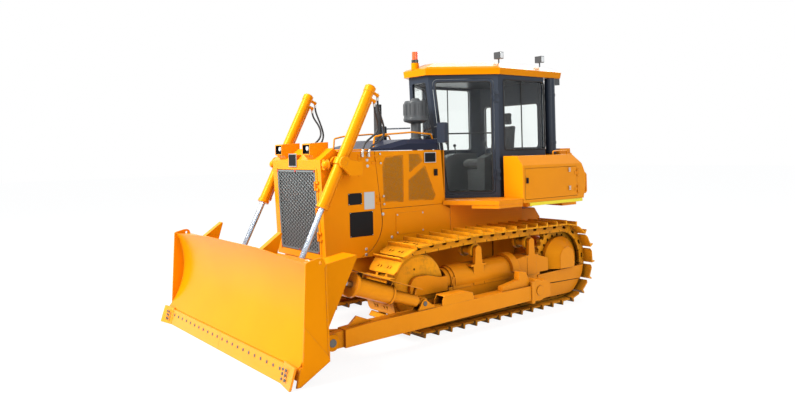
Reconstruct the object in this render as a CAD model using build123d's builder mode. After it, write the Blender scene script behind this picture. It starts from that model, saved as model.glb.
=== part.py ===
"""Crawler bulldozer with a straight tilt blade, modelled as an assembly of named pieces.

Millimetres. +X points forward to the blade, +Y to the machine's left, +Z up.
z = 0 is the ground, y = 0 the centre line, and x = 0 the middle of the overall length.
"""
from build123d import *
from math import atan2, cos, degrees, radians, sin, tan
import os

os.makedirs("parts", exist_ok=True)

# ---- driving dimensions ----------------------------------------------------------------
GAUGE = 1880            # between the centre lines of the two tracks
SHOE_WIDTH = 510
SHOE_COUNT = 39         # shoes in one track
GROUSER = 45            # height of a shoe's grouser above its plate
SHOE_PLATE = 16
LINK_HEIGHT = 112       # chain link, from roller rail to shoe plate
LINK_WIDTH = 44
RAIL_Y = 88             # from the chain's centre to the middle of a rail
SPROCKET_X, SPROCKET_Z, SPROCKET_WRAP = -1950, 570, 525    # wrap: radius at the plates' outside
IDLER_X, IDLER_Z, IDLER_WRAP = 620, 552, 507
CARRIER_XS, CARRIER_Z, CARRIER_R = (-300, -1280), 884, 89
TRACK_Y = GAUGE / 2

BLADE_HALF = 1695       # mouldboard, half width
BLADE_TOP = 1117        # at the ends; the middle is higher by BLADE_CROWN
BLADE_CROWN = 60
CROWN_HALF = 674        # half width of the raised middle
SIDE_PLATE = 18
BLADE_BACK_X = 2250     # plane of the blade's rear box sections
TRUNNION_X, TRUNNION_Z = -1090, 325     # pivot of the push arms
ARM_Y, ARM_WIDTH = 1320, 150            # middle and width of a push arm
BLADE_PIN_X, BLADE_PIN_Z = 2010, 245

YOKE_X, YOKE_Y, YOKE_Z = 1450, 715, 2025        # trunnion of a lift cylinder
ROD_EYE_X, ROD_EYE_Z = 2090, 755
LIFT_TUBE_R, LIFT_BORE_R, LIFT_ROD_R = 62, 50, 32
GLAND_REACH, TOP_REACH = 562, 975       # the barrel's ends, from the trunnion

HOOD_HALF = 575
HOOD_TOP_Z = 2150       # seam between the engine doors and the top cover
CAB_FLOOR_Z, CAB_TOP_Z = 1500, 3150
CAB_HALF = 780
CAB_WALL = 45


def side(y):
    """Plane at this y whose sketches read X and Z; extruding goes towards -Y."""
    return Plane.XZ.offset(-y)


def front(x):
    """Plane at this x whose sketches read Y and Z; extruding goes towards +X."""
    return Plane.YZ.offset(x)


def slab(y_low, y_high, *corners, holes=()):
    """Plate between two y's with these corners (x, z) and round holes (x, z, radius)."""
    with BuildSketch() as outline:
        with BuildLine():
            Polyline(*corners, close=True)
        make_face()
        for x, z, r in holes:
            with Locations((x, z)):
                Circle(r, mode=Mode.SUBTRACT)
    return extrude(side(y_high) * outline.sketch_local, amount=y_high - y_low, mode=Mode.PRIVATE)


def bar(x_low, x_high, *corners):
    """Prism along the machine between two x's with these corners (y, z)."""
    with BuildSketch() as outline:
        with BuildLine():
            Polyline(*corners, close=True)
        make_face()
    return extrude(front(x_low) * outline.sketch_local, amount=x_high - x_low, mode=Mode.PRIVATE)


def block(x_low, x_high, y_low, y_high, z_low, z_high):
    """Plain box between these limits."""
    return Pos(x_low, y_low, z_low) * Box(x_high - x_low, y_high - y_low, z_high - z_low,
                                          align=(Align.MIN, Align.MIN, Align.MIN), mode=Mode.PRIVATE)


def drum(plane, r, length):
    """Cylinder that stands on this plane."""
    return plane * Cylinder(r, length, align=(Align.CENTER, Align.CENTER, Align.MIN), mode=Mode.PRIVATE)


def rod(start, end, r):
    """Round bar from one point to another."""
    line = Vector(*end) - Vector(*start)
    return drum(Plane(origin=start, z_dir=line), r, line.length)


def save_pair(piece, name):
    """Write a left piece and its mirror image as name_left and name_right."""
    for hand, solid in (("left", piece.part), ("right", mirror(piece.part, about=Plane.XZ))):
        solid.label = f"{name}_{hand}"
        export_step(solid, f"parts/{name}_{hand}.step")


# ---- tracks: one closed loop of link rails and shoes on each side -------------------------
track_wheels = (        # x, z and radius at the shoe plates' outside
    (IDLER_X, IDLER_Z, IDLER_WRAP),
    (CARRIER_XS[0], CARRIER_Z, CARRIER_R + LINK_HEIGHT + SHOE_PLATE),
    (CARRIER_XS[1], CARRIER_Z, CARRIER_R + LINK_HEIGHT + SHOE_PLATE),
    (SPROCKET_X, SPROCKET_Z, SPROCKET_WRAP),
)


def track_outline(inset):
    """Face filling the track's outline, this far inside the shoe plates."""
    with BuildSketch() as outline:
        with BuildLine():
            for x, z, wrap in track_wheels:
                CenterArc((x, z), wrap - inset, 0, 360)
        make_hull()
    return outline.sketch_local


pin_line = (side(0) * track_outline(SHOE_PLATE + LINK_HEIGHT / 2)).wire()
pins = [pin_line.position_at(k / SHOE_COUNT) for k in range(SHOE_COUNT)]
pitch = pin_line.length / SHOE_COUNT

with BuildPart() as shoe:
    # along the track, then outwards from the pins: plate, grouser at its front, hooked rear edge
    low, high = LINK_HEIGHT / 2 - 3, LINK_HEIGHT / 2 + SHOE_PLATE
    half = pitch / 2 - 3
    with BuildSketch(Plane.XY):
        with BuildLine():
            Polyline((-half, low), (half - 6, low), (half, low + 5), (half, high - 4), (half - 14, high),
                     (30 - half, high), (23 - half, high + GROUSER), (5 - half, high + GROUSER),
                     (-half, high - 2), close=True)
        make_face()
    extrude(amount=SHOE_WIDTH / 2, both=True)
    # corners of the plate clipped at both ends
    with BuildSketch(Plane.XZ.offset(-high - GROUSER - 1)):
        for end in (1, -1):
            with BuildLine():
                Polyline((half + 1, end * (SHOE_WIDTH / 2 - 26)), (half + 1, end * (SHOE_WIDTH / 2 + 1)),
                         (half - 40, end * (SHOE_WIDTH / 2 + 1)), close=True)
            make_face()
    extrude(amount=high + GROUSER, mode=Mode.SUBTRACT)

with BuildPart() as track:
    joints_along = [(here + there) / 2 for here, there in zip(pins, pins[1:] + pins[:1])]
    for y in (TRACK_Y - RAIL_Y, TRACK_Y + RAIL_Y):
        with BuildSketch(side(y + LINK_WIDTH / 2)):
            add(track_outline(SHOE_PLATE))
            add(track_outline(SHOE_PLATE + LINK_HEIGHT), mode=Mode.SUBTRACT)
            # waist of each link, and the notch between one link and the next
            for here, there, middle in zip(pins, pins[1:] + pins[:1], joints_along):
                along = (there - here).normalized()
                out = Vector(-along.Z, 0, along.X)
                turn = Vector(1, 0, 0).get_signed_angle(along, Vector(0, -1, 0))
                with Locations(Location((middle.X + 14 * out.X, middle.Z + 14 * out.Z, 0), (0, 0, turn))):
                    SlotOverall(70, 34, mode=Mode.SUBTRACT)
                with Locations(Location((here.X - 50 * out.X, here.Z - 50 * out.Z, 0), (0, 0, turn))):
                    Rectangle(9, 44, mode=Mode.SUBTRACT)
        extrude(amount=LINK_WIDTH)
    # bushings between the two rails
    with BuildSketch(side(TRACK_Y + RAIL_Y)):
        with Locations([(pin.X, pin.Z) for pin in pins]):
            Circle(30)
    extrude(amount=2 * RAIL_Y)
    for here, there, middle in zip(pins, pins[1:] + pins[:1], joints_along):
        add(Plane(middle + Vector(0, TRACK_Y, 0), x_dir=there - here, z_dir=(0, -1, 0)) * shoe.part)
save_pair(track, "track")

# ---- undercarriage ----------------------------------------------------------------------
TEETH = 28
# the teeth stand midway between the bushings that the sprocket carries
rear_pin = min(pins, key=lambda pin: pin.X)
FIRST_TOOTH = degrees(atan2(rear_pin.Z - SPROCKET_Z, rear_pin.X - SPROCKET_X)) + 180 / TEETH
with BuildSketch() as tooth:
    with BuildLine():
        Polyline((414, -30), (424, -28), (436, -21), (452, -17.5), (464, -9), (464, 9), (452, 17.5),
                 (436, 21), (424, 28), (414, 30), close=True)
    make_face()
with BuildPart() as sprockets:
    with BuildSketch(side(TRACK_Y + 36)):
        with Locations((SPROCKET_X, SPROCKET_Z)):
            Circle(420)
            with PolarLocations(0, TEETH, start_angle=FIRST_TOOTH):
                add(tooth.sketch_local)
            Circle(252, mode=Mode.SUBTRACT)
            with PolarLocations(352, 21, start_angle=6):
                Circle(20, mode=Mode.SUBTRACT)
    extrude(amount=72)
    mirror(about=Plane.XZ)
sprockets.part.label = "sprockets"
export_step(sprockets.part, "parts/sprockets.step")

with BuildPart() as final_drives:
    with BuildSketch(Plane.XY.offset(SPROCKET_Z)):
        with BuildLine():
            # reach from the sprocket's axis, then distance from the centre line
            Polyline((SPROCKET_X, 440), (SPROCKET_X + 300, 440), (SPROCKET_X + 300, 640),
                     (SPROCKET_X + 270, 700), (SPROCKET_X + 270, 880), (SPROCKET_X + 250, 900),
                     (SPROCKET_X + 250, 980), (SPROCKET_X, 980), (SPROCKET_X, 440))
        make_face()
    revolve(axis=Axis((SPROCKET_X, 0, SPROCKET_Z), (0, 1, 0)))
    # cover over the outer end, narrowing to a bearing cap on the track frame's outer rail
    for y, r, centre_z in ((985, 338, 570), (1030, 330, 570), (1148, 152, 618), (1160, 146, 618)):
        with BuildSketch(side(y)):
            with BuildLine():
                Polyline((SPROCKET_X - r, centre_z), (SPROCKET_X - r, 482), (SPROCKET_X + r, 482),
                         (SPROCKET_X + r, centre_z))
                ThreePointArc((SPROCKET_X + r, centre_z), (SPROCKET_X, centre_z + r),
                              (SPROCKET_X - r, centre_z))
            make_face()
    loft(ruled=True)
    mirror(about=Plane.XZ)
final_drives.part.label = "final_drives"
export_step(final_drives.part, "parts/final_drives.step")

IDLER_R = IDLER_WRAP - SHOE_PLATE - LINK_HEIGHT - 1
with BuildPart() as idlers:
    with BuildSketch(Plane.XY.offset(IDLER_Z)):
        with BuildLine():
            # radius, then distance from the centre line, inner face first
            Polyline(*[(IDLER_X + r, TRACK_Y + y) for r, y in (
                (0, -108), (110, -108), (130, -92), (330, -92), (338, -112), (IDLER_R, -112),
                (IDLER_R, -62), (IDLER_R + 22, -56), (IDLER_R + 22, 56), (IDLER_R, 62),
                (IDLER_R, 100), (352, 112), (60, 112), (60, 106), (0, 106))], close=True)
        make_face()
    revolve(axis=Axis((IDLER_X, 0, IDLER_Z), (0, 1, 0)))
    # filler hole in the outer disc
    add(rod((IDLER_X + 64, TRACK_Y + 90, IDLER_Z + 218), (IDLER_X + 64, TRACK_Y + 120, IDLER_Z + 218), 13),
        mode=Mode.SUBTRACT)
    mirror(about=Plane.XZ)
idlers.part.label = "idlers"
export_step(idlers.part, "parts/idlers.step")

RAIL_TOP_Z = GROUSER + SHOE_PLATE + LINK_HEIGHT     # running face of the chain on the ground
ROLLER_R = 95
ROLLER_XS = [240 - 287 * k for k in range(7)]
with BuildPart() as rollers:
    for x, z, r in ([(x, RAIL_TOP_Z + ROLLER_R + 1, ROLLER_R) for x in ROLLER_XS]
                    + [(x, CARRIER_Z, CARRIER_R - 1) for x in CARRIER_XS]):
        add(rod((x, TRACK_Y - 110, z), (x, TRACK_Y - 66, z), r))
        add(rod((x, TRACK_Y - 66, z), (x, TRACK_Y + 66, z), 0.7 * r))
        add(rod((x, TRACK_Y + 66, z), (x, TRACK_Y + 110, z), r))
    mirror(about=Plane.XZ)
rollers.part.label = "rollers"
export_step(rollers.part, "parts/rollers.step")

FRAME_IN, FRAME_OUT = TRACK_Y - 160, TRACK_Y + 160
RECOIL_Z, RECOIL_R = 560, 176
with BuildPart() as track_frame:
    # main box over the rollers
    add(slab(FRAME_IN, FRAME_OUT, (-1440, 385), (200, 385), (200, 500), (-1440, 500)))
    # roller guards hanging on both sides, the outer one carried on round the sprocket
    add(slab(FRAME_IN, FRAME_IN + 24, (-1440, 400), (-1440, 240), (-1380, 190), (380, 190), (520, 260),
             (520, 400)))
    add(slab(FRAME_OUT - 24, FRAME_OUT, (-1440, 400), (-1440, 300), (-2262, 285), (-2225, 222),
             (-2140, 150), (-2060, 118), (360, 118), (470, 180), (520, 260), (520, 400)))
    # outer rail beside the sprocket, deeper towards its end
    add(slab(FRAME_OUT - 40, FRAME_OUT + 10, (-1390, 318), (-1390, 444), (-2352, 475), (-2338, 385),
             (-2285, 293)))
    # recoil spring housing: barrel, neck and bolted nose
    for x_low, x_high, r in ((-960, 100, RECOIL_R), (100, 150, RECOIL_R - 14), (150, 212, RECOIL_R - 30)):
        with BuildSketch(front(x_low)):
            with Locations((TRACK_Y, RECOIL_Z)):
                Circle(r)
        extrude(amount=x_high - x_low)
    # side covers along the barrel, each with a step
    for x_low, x_high in ((-850, -395), (-170, 130)):
        add(block(x_low, x_high, TRACK_Y, FRAME_OUT + 6, 470, 612))
    # strap over the barrel
    with BuildSketch(front(-985)):
        with Locations((TRACK_Y, RECOIL_Z)):
            Circle(RECOIL_R + 44)
            Circle(RECOIL_R + 14, mode=Mode.SUBTRACT)
            Rectangle(600, 300, align=(Align.CENTER, Align.MAX), mode=Mode.SUBTRACT)
        with Locations((TRACK_Y, RECOIL_Z)):
            Circle(RECOIL_R + 20)
            Rectangle(600, 300, align=(Align.CENTER, Align.MAX), mode=Mode.SUBTRACT)
    extrude(amount=118)
    # stepped case between the strap and the final drive
    add(slab(TRACK_Y - 30, FRAME_OUT + 4, (-990, 480), (-990, 700), (-1180, 728), (-1392, 716), (-1400, 484)))
    add(slab(TRACK_Y + 46, FRAME_OUT + 4, (-1390, 484), (-1390, 716), (-1605, 652), (-1605, 484)))
    # carrier roller posts, outside the rollers
    for x in CARRIER_XS:
        with BuildSketch(side(FRAME_OUT + 8)):
            with BuildLine():
                Polyline((x - 88, 470), (x + 88, 470), (x + 88, 716), (x + 62, 730), (x + 50, 880))
                ThreePointArc((x + 50, 880), (x, 948), (x - 50, 880))
                Polyline((x - 50, 880), (x - 62, 730), (x - 88, 716), (x - 88, 470))
            make_face()
        extrude(amount=44)
        add(block(x - 128, x + 128, FRAME_OUT - 90, FRAME_OUT + 8, 700, 722))
    # trunnion of the push arm: foot, cone and pin
    with BuildSketch(side(FRAME_OUT + 40)):
        with Locations((TRUNNION_X, TRUNNION_Z)):
            Circle(118)
    extrude(amount=52)
    with BuildSketch(side(ARM_Y - ARM_WIDTH / 2 - 8)):
        with Locations((TRUNNION_X, TRUNNION_Z)):
            Circle(88)
    extrude(amount=ARM_Y - ARM_WIDTH / 2 - 8 - FRAME_OUT - 30)
    with BuildSketch(side(ARM_Y + ARM_WIDTH / 2 + 10)):
        with Locations((TRUNNION_X, TRUNNION_Z)):
            Circle(60)
    extrude(amount=ARM_WIDTH + 20)
    # sliding yoke arms that hold the idler, the outer one with a rounded nose
    with BuildSketch(side(FRAME_OUT + 2)):
        with BuildLine():
            Line((217, 470), (752, 470))
            ThreePointArc((752, 470), (782, 590), (640, 690))
            Polyline((640, 690), (520, 688), (330, 640), (217, 640), (217, 470))
        make_face()
    extrude(amount=44)
    add(slab(TRACK_Y - 150, TRACK_Y - 116, (217, 510), (470, 500), (640, 478), (700, 520), (700, 590),
             (640, 626), (300, 650), (217, 640)))
save_pair(track_frame, "track_frame")

# ---- hull -------------------------------------------------------------------------------
HULL_HALF = 420
with BuildPart() as main_frame:
    with BuildSketch(side(HULL_HALF)):
        with BuildLine():
            Polyline((-1240, 420), (1180, 420), (1560, 640), (1560, 890), (-1240, 890),
                     (-1240, 420))
        make_face()
    extrude(amount=2 * HULL_HALF)
    with BuildSketch(side(HULL_HALF - 30)):
        with BuildLine():
            Polyline((-1210, 450), (1170, 450), (1530, 655), (1530, 950), (-1210, 950),
                     (-1210, 450))
        make_face()
    extrude(amount=2 * HULL_HALF - 60, mode=Mode.SUBTRACT)
    # pivot shaft to the track frames
    for y in (FRAME_IN - 1, -HULL_HALF):
        with BuildSketch(side(y)):
            with Locations((-1120, 560)):
                Circle(85)
        extrude(amount=FRAME_IN - 1 - HULL_HALF)
    # equalizer bar under the hull, its ends on the track frames
    add(bar(300, 450, (-770, 300), (-640, 300), (-300, 340), (300, 340), (640, 300), (770, 300),
            (770, 375), (640, 375), (300, 412), (-300, 412), (-640, 375), (-770, 375)))
main_frame.part.label = "main_frame"
export_step(main_frame.part, "parts/main_frame.step")

with BuildPart() as rear_case:
    with BuildSketch(side(438)):
        with BuildLine():
            Polyline((-2230, 480), (-2120, 400), (-1245, 400), (-1245, 1180), (-1500, 1260),
                     (-2120, 1260), (-2230, 1120), (-2230, 480))
        make_face()
    extrude(amount=876)
rear_case.part.label = "rear_case"
export_step(rear_case.part, "parts/rear_case.step")

HITCH_X, HITCH_Z, HITCH_R = -2590, 560, 31
with BuildPart() as drawbar:
    for z in (HITCH_Z - 70, HITCH_Z + 40):
        with BuildSketch(Plane.XY.offset(z)):
            with BuildLine():
                Polyline((-2262, -170), (HITCH_X, -90))
                ThreePointArc((HITCH_X, -90), (HITCH_X - 90, 0), (HITCH_X, 90))
                Polyline((HITCH_X, 90), (-2262, 170), (-2262, -170))
            make_face()
            with Locations((HITCH_X, 0)):
                Circle(HITCH_R, mode=Mode.SUBTRACT)
        extrude(amount=30)
    with BuildSketch(front(-2262)):
        with Locations((0, HITCH_Z)):
            Rectangle(420, 300)
        with Locations((0, HITCH_Z)):
            with GridLocations(360, 240, 2, 2):
                Circle(14, mode=Mode.SUBTRACT)
    extrude(amount=30)
drawbar.part.label = "drawbar"
export_step(drawbar.part, "parts/drawbar.step")

with BuildPart() as engine_block:
    with BuildSketch(front(80)):
        with Locations((0, 1380)):
            RectangleRounded(560, 1000, 60)
    extrude(amount=1100)
engine_block.part.label = "engine_block"
export_step(engine_block.part, "parts/engine_block.step")

# ---- front housing, grille and bonnet -----------------------------------------------------
GUARD_BACK_X, GUARD_LOW_Z = 880, 895
GRILLE_LOW, GRILLE_HIGH, GRILLE_HALF = 974, 1944, 459
FACE_LOW, FACE_HIGH = (1570, GUARD_LOW_Z), (1630, 2055)     # raked front face
RAKE = (FACE_HIGH[0] - FACE_LOW[0]) / (FACE_HIGH[1] - FACE_LOW[1])


def face_x(z):
    """x of the front housing's raked face at this height."""
    return FACE_LOW[0] + RAKE * (z - FACE_LOW[1])


HINGE_ZS = (1180, 1460, 1760)       # hinges of the grille door, on its left edge
ENGINE_HINGE_ZS = (1560, 2050)      # and of the engine doors, on their front edges


def hinge_point(z):
    """Point at this height on the grille door's hinge axis."""
    return (face_x(z) + 20, GRILLE_HALF + 3, z)


def door_hinge(z):
    """Point at this height on the left engine door's hinge axis."""
    return (GUARD_BACK_X - 49 + (z - 1797) * 85 / 694, HOOD_HALF + 11, z)


with BuildPart() as radiator_guard:
    with BuildSketch(side(HOOD_HALF)):
        with BuildLine():
            Polyline((GUARD_BACK_X - 99, 1330), (GUARD_BACK_X, HOOD_TOP_Z - 1), (1405, HOOD_TOP_Z - 1),
                     (1450, 2190), FACE_HIGH, FACE_LOW, (1130, GUARD_LOW_Z))
            RadiusArc((1130, GUARD_LOW_Z), (GUARD_BACK_X - 99, 1330), 420)
        make_face()
    extrude(amount=2 * HOOD_HALF)
    with BuildSketch(side(HOOD_HALF - 14)):
        with BuildLine():
            Polyline((600, 800), (600, HOOD_TOP_Z - 15), (1415, HOOD_TOP_Z - 15), (1455, 2174),
                     (FACE_HIGH[0] - 30, FACE_HIGH[1] - 12), (FACE_LOW[0] - 30, 800), (600, 800))
        make_face()
    extrude(amount=2 * (HOOD_HALF - 14), mode=Mode.SUBTRACT)
    with BuildSketch(front(1500)):
        with BuildLine():
            Polyline((-GRILLE_HALF, GRILLE_LOW), (GRILLE_HALF, GRILLE_LOW),
                     (GRILLE_HALF, GRILLE_HIGH), (-GRILLE_HALF, GRILLE_HIGH),
                     (-GRILLE_HALF, GRILLE_LOW))
        make_face()
    extrude(amount=300, mode=Mode.SUBTRACT)
    # hooded scoops for the two work lamps, reaching out over the face
    for y in (334, -334):
        add(slab(y - 88, y + 88, (1425, 2170), (1600, 2066), (1640, 2110), (1672, 2120), (1672, 2245),
                 (1640, 2252), (1425, 2262)))
        add(slab(y - 76, y + 76, (1470, 2204), (1680, 2126), (1680, 2233), (1640, 2240), (1470, 2246)),
            mode=Mode.SUBTRACT)
    # rim round the grille's opening, and the tow eye's plate under it
    for y in (GRILLE_HALF, -GRILLE_HALF - 34):
        add(slab(y, y + 34, (face_x(960) - 1, 960), (face_x(1958) - 1, 1958), (face_x(1958) + 7, 1958),
                 (face_x(960) + 7, 960)))
    # front halves of the engine doors' hinges
    for z in ENGINE_HINGE_ZS:
        for low in (z - 52, z + 28):
            add(rod(door_hinge(low), door_hinge(low + 24), 9))
            add(slab(HOOD_HALF - 1, HOOD_HALF + 8, (door_hinge(low)[0] + 7, low), (door_hinge(z)[0] + 56, low),
                     (door_hinge(z)[0] + 56, low + 24), (door_hinge(low)[0] + 7, low + 24)))
            add(rod((door_hinge(low)[0], -door_hinge(low)[1], low),
                    (door_hinge(low + 24)[0], -door_hinge(low)[1], low + 24), 9))
            add(slab(-HOOD_HALF - 8, 1 - HOOD_HALF, (door_hinge(low)[0] + 7, low), (door_hinge(z)[0] + 56, low),
                     (door_hinge(z)[0] + 56, low + 24), (door_hinge(low)[0] + 7, low + 24)))
    # outer halves of the grille door's hinges
    for z in HINGE_ZS:
        for low in (z - 52, z + 28):
            add(rod(hinge_point(low), hinge_point(low + 24), 12))
            add(slab(GRILLE_HALF + 3, GRILLE_HALF + 60, (face_x(low) + 4, low), (face_x(low + 24) + 4, low + 24),
                     (face_x(low + 24) + 18, low + 24), (face_x(low) + 18, low)))
radiator_guard.part.label = "radiator_guard"
export_step(radiator_guard.part, "parts/radiator_guard.step")

with BuildPart() as radiator:
    with BuildSketch(front(1290)):
        with Locations((0, 1480)):
            Rectangle(860, 1060)
    extrude(amount=150)
radiator.part.label = "radiator"
export_step(radiator.part, "parts/radiator.step")

with BuildPart() as grille_door:
    gap = 6
    # plate with a raised frame all round
    for inset, back, face in ((0, 26, 14), (0, 14, 2)):
        add(slab(gap - GRILLE_HALF, GRILLE_HALF - gap,
                 (face_x(GRILLE_LOW + gap) - back, GRILLE_LOW + gap),
                 (face_x(GRILLE_LOW + gap) - face, GRILLE_LOW + gap),
                 (face_x(GRILLE_HIGH - gap) - face, GRILLE_HIGH - gap),
                 (face_x(GRILLE_HIGH - gap) - back, GRILLE_HIGH - gap)))
    add(slab(42 - GRILLE_HALF, GRILLE_HALF - 42, (face_x(GRILLE_LOW + 42) - 16, GRILLE_LOW + 42),
             (face_x(GRILLE_LOW + 42) + 2, GRILLE_LOW + 42), (face_x(GRILLE_HIGH - 42) + 2, GRILLE_HIGH - 42),
             (face_x(GRILLE_HIGH - 42) - 16, GRILLE_HIGH - 42)), mode=Mode.SUBTRACT)
    # inner halves of its hinges
    for z in HINGE_ZS:
        add(rod(hinge_point(z - 26), hinge_point(z + 26), 12))
        add(slab(GRILLE_HALF - 40, GRILLE_HALF - 8, (face_x(z - 26) - 3, z - 26), (face_x(z + 26) - 3, z + 26),
                 (face_x(z + 26) + 16, z + 26), (face_x(z - 26) + 16, z - 26)))
        add(slab(GRILLE_HALF - 10, GRILLE_HALF + 3, (face_x(z - 26) + 10, z - 26), (face_x(z + 26) + 10, z + 26),
                 (face_x(z + 26) + 16, z + 26), (face_x(z - 26) + 16, z - 26)))
grille_door.part.label = "grille_door"
export_step(grille_door.part, "parts/grille_door.step")

HOOD_REAR_X = -190
with BuildPart() as hood_cover:
    with BuildSketch(side(HOOD_HALF - 4)):
        with BuildLine():
            Polyline((HOOD_REAR_X, HOOD_TOP_Z + 1), (GUARD_BACK_X + 500, HOOD_TOP_Z + 1),
                     (GUARD_BACK_X + 500, HOOD_TOP_Z + 20), (GUARD_BACK_X + 20, HOOD_TOP_Z + 26),
                     (370, 2286), (HOOD_REAR_X, 2286), (HOOD_REAR_X, HOOD_TOP_Z + 1))
        make_face()
    extrude(amount=2 * (HOOD_HALF - 4))
    chamfer(hood_cover.edges().filter_by_position(Axis.Z, 2160, 2300).filter_by(
        lambda edge: abs(abs(edge.center().Y) - HOOD_HALF + 4) < 1
        and edge.center().Z > HOOD_TOP_Z + 40), 55)
    # grab rail along each side of the top
    for y in (455, -455):
        with BuildLine() as rail:
            FilletPolyline((800, y, 2170), (786, y, 2318), (640, y, 2348), (190, y, 2376), (-120, y, 2350),
                           (-150, y, 2280), radius=24)
        with BuildSketch(Plane(origin=rail.line @ 0, z_dir=rail.line % 0)):
            Circle(11)
        sweep(path=rail.line)
hood_cover.part.label = "hood_cover"
export_step(hood_cover.part, "parts/hood_cover.step")

DOOR_LOW_Z = 1450
with BuildPart() as hood_panels:
    # fixed lower side panels and the frame's cover behind them
    with BuildSketch(side(HOOD_HALF)):
        with BuildLine():
            Line((GUARD_BACK_X - 109, 1330), (GUARD_BACK_X - 95, DOOR_LOW_Z - 5))
            Line((GUARD_BACK_X - 95, DOOR_LOW_Z - 5), (HOOD_REAR_X, DOOR_LOW_Z - 5))
            Line((HOOD_REAR_X, DOOR_LOW_Z - 5), (HOOD_REAR_X - 130, 1380))
            Line((HOOD_REAR_X - 130, 1380), (HOOD_REAR_X - 130, 895))
            Line((HOOD_REAR_X - 130, 895), (1116, 895))
            RadiusArc((1116, 895), (GUARD_BACK_X - 109, 1330), 420)
        make_face()
    extrude(amount=10)
    mirror(about=Plane.XZ)
    # bulkhead at the rear
    add(block(HOOD_REAR_X - 60, HOOD_REAR_X - 48, 15 - HOOD_HALF, HOOD_HALF - 15, 1260, 2140))
hood_panels.part.label = "hood_panels"
export_step(hood_panels.part, "parts/hood_panels.step")

with BuildPart() as engine_door:
    with BuildSketch(side(HOOD_HALF)):
        with BuildLine():
            Polyline((GUARD_BACK_X - 91, DOOR_LOW_Z), (GUARD_BACK_X - 6, HOOD_TOP_Z - 6),
                     (HOOD_REAR_X + 10, HOOD_TOP_Z - 6), (HOOD_REAR_X - 40, DOOR_LOW_Z),
                     (GUARD_BACK_X - 91, DOOR_LOW_Z))
        make_face()
    extrude(amount=12)
    # recesses for the three perforated panels
    for corners in (((712, 2078), (439, 2090), (446, 1512), (745, 1528), (764, 1954)),
                    ((350, 2100), (179, 2100), (126, 2013), (352, 1862)),
                    ((92, 1956), (-77, 1565), (-40, 1506), (366, 1520), (362, 1778))):
        with BuildSketch(side(HOOD_HALF + 1)):
            with BuildLine():
                Polyline(*corners, close=True)
            panel = make_face()
            fillet(panel.vertices(), 16)
        extrude(amount=7, mode=Mode.SUBTRACT)
    # latch
    add(block(-104, -56, HOOD_HALF - 1, HOOD_HALF + 9, 1822, 1894))
    for z in ENGINE_HINGE_ZS:
        add(rod(door_hinge(z - 26), door_hinge(z + 26), 9))
        add(slab(HOOD_HALF - 1, HOOD_HALF + 5, (door_hinge(z)[0] - 60, z - 24), (door_hinge(z)[0] - 1, z - 24),
                 (door_hinge(z)[0] - 1, z + 24), (door_hinge(z)[0] - 60, z + 24)))
save_pair(engine_door, "engine_door")

with BuildPart() as exhaust_stack:
    with BuildSketch(Plane.XZ):
        with BuildLine():
            Polyline((446, 2287), (462, 2287), (462, 2310), (450, 2316), (450, 2752), (444, 2752), (444, 2310),
                     (446, 2287))
        make_face()
    revolve(axis=Axis((398, 0, 0), (0, 0, 1)))
exhaust_stack.part.label = "exhaust_stack"
export_step(exhaust_stack.part, "parts/exhaust_stack.step")

with BuildPart() as air_precleaner:
    with BuildSketch(Plane.XZ.offset(-250)):
        with BuildLine():
            Polyline((-38, 2287), (42, 2287), (42, 2304), (29, 2310), (29, 2495), (50, 2500), (112, 2520),
                     (124, 2536), (124, 2562), (118, 2570), (112, 2770), (100, 2792), (30, 2798), (6, 2830),
                     (-38, 2834), (-38, 2287))
        make_face()
    revolve(axis=Axis((-38, 250, 0), (0, 0, 1)))
air_precleaner.part.label = "air_precleaner"
export_step(air_precleaner.part, "parts/air_precleaner.step")

# ---- blade, in one frame with the arms that carry it ---------------------------------------
BOARD = 14
BOARD_R = 845           # radius of the mouldboard's hollow face
LIP_LEAN = 0.218        # slope of the lower lip and cutting edge, x over -z
LIP_X, LIP_Z = 2567, 192


def lip_x(z):
    """x of the cutting edge's rear face at this height."""
    return LIP_X + LIP_LEAN * (LIP_Z - z)


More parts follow.
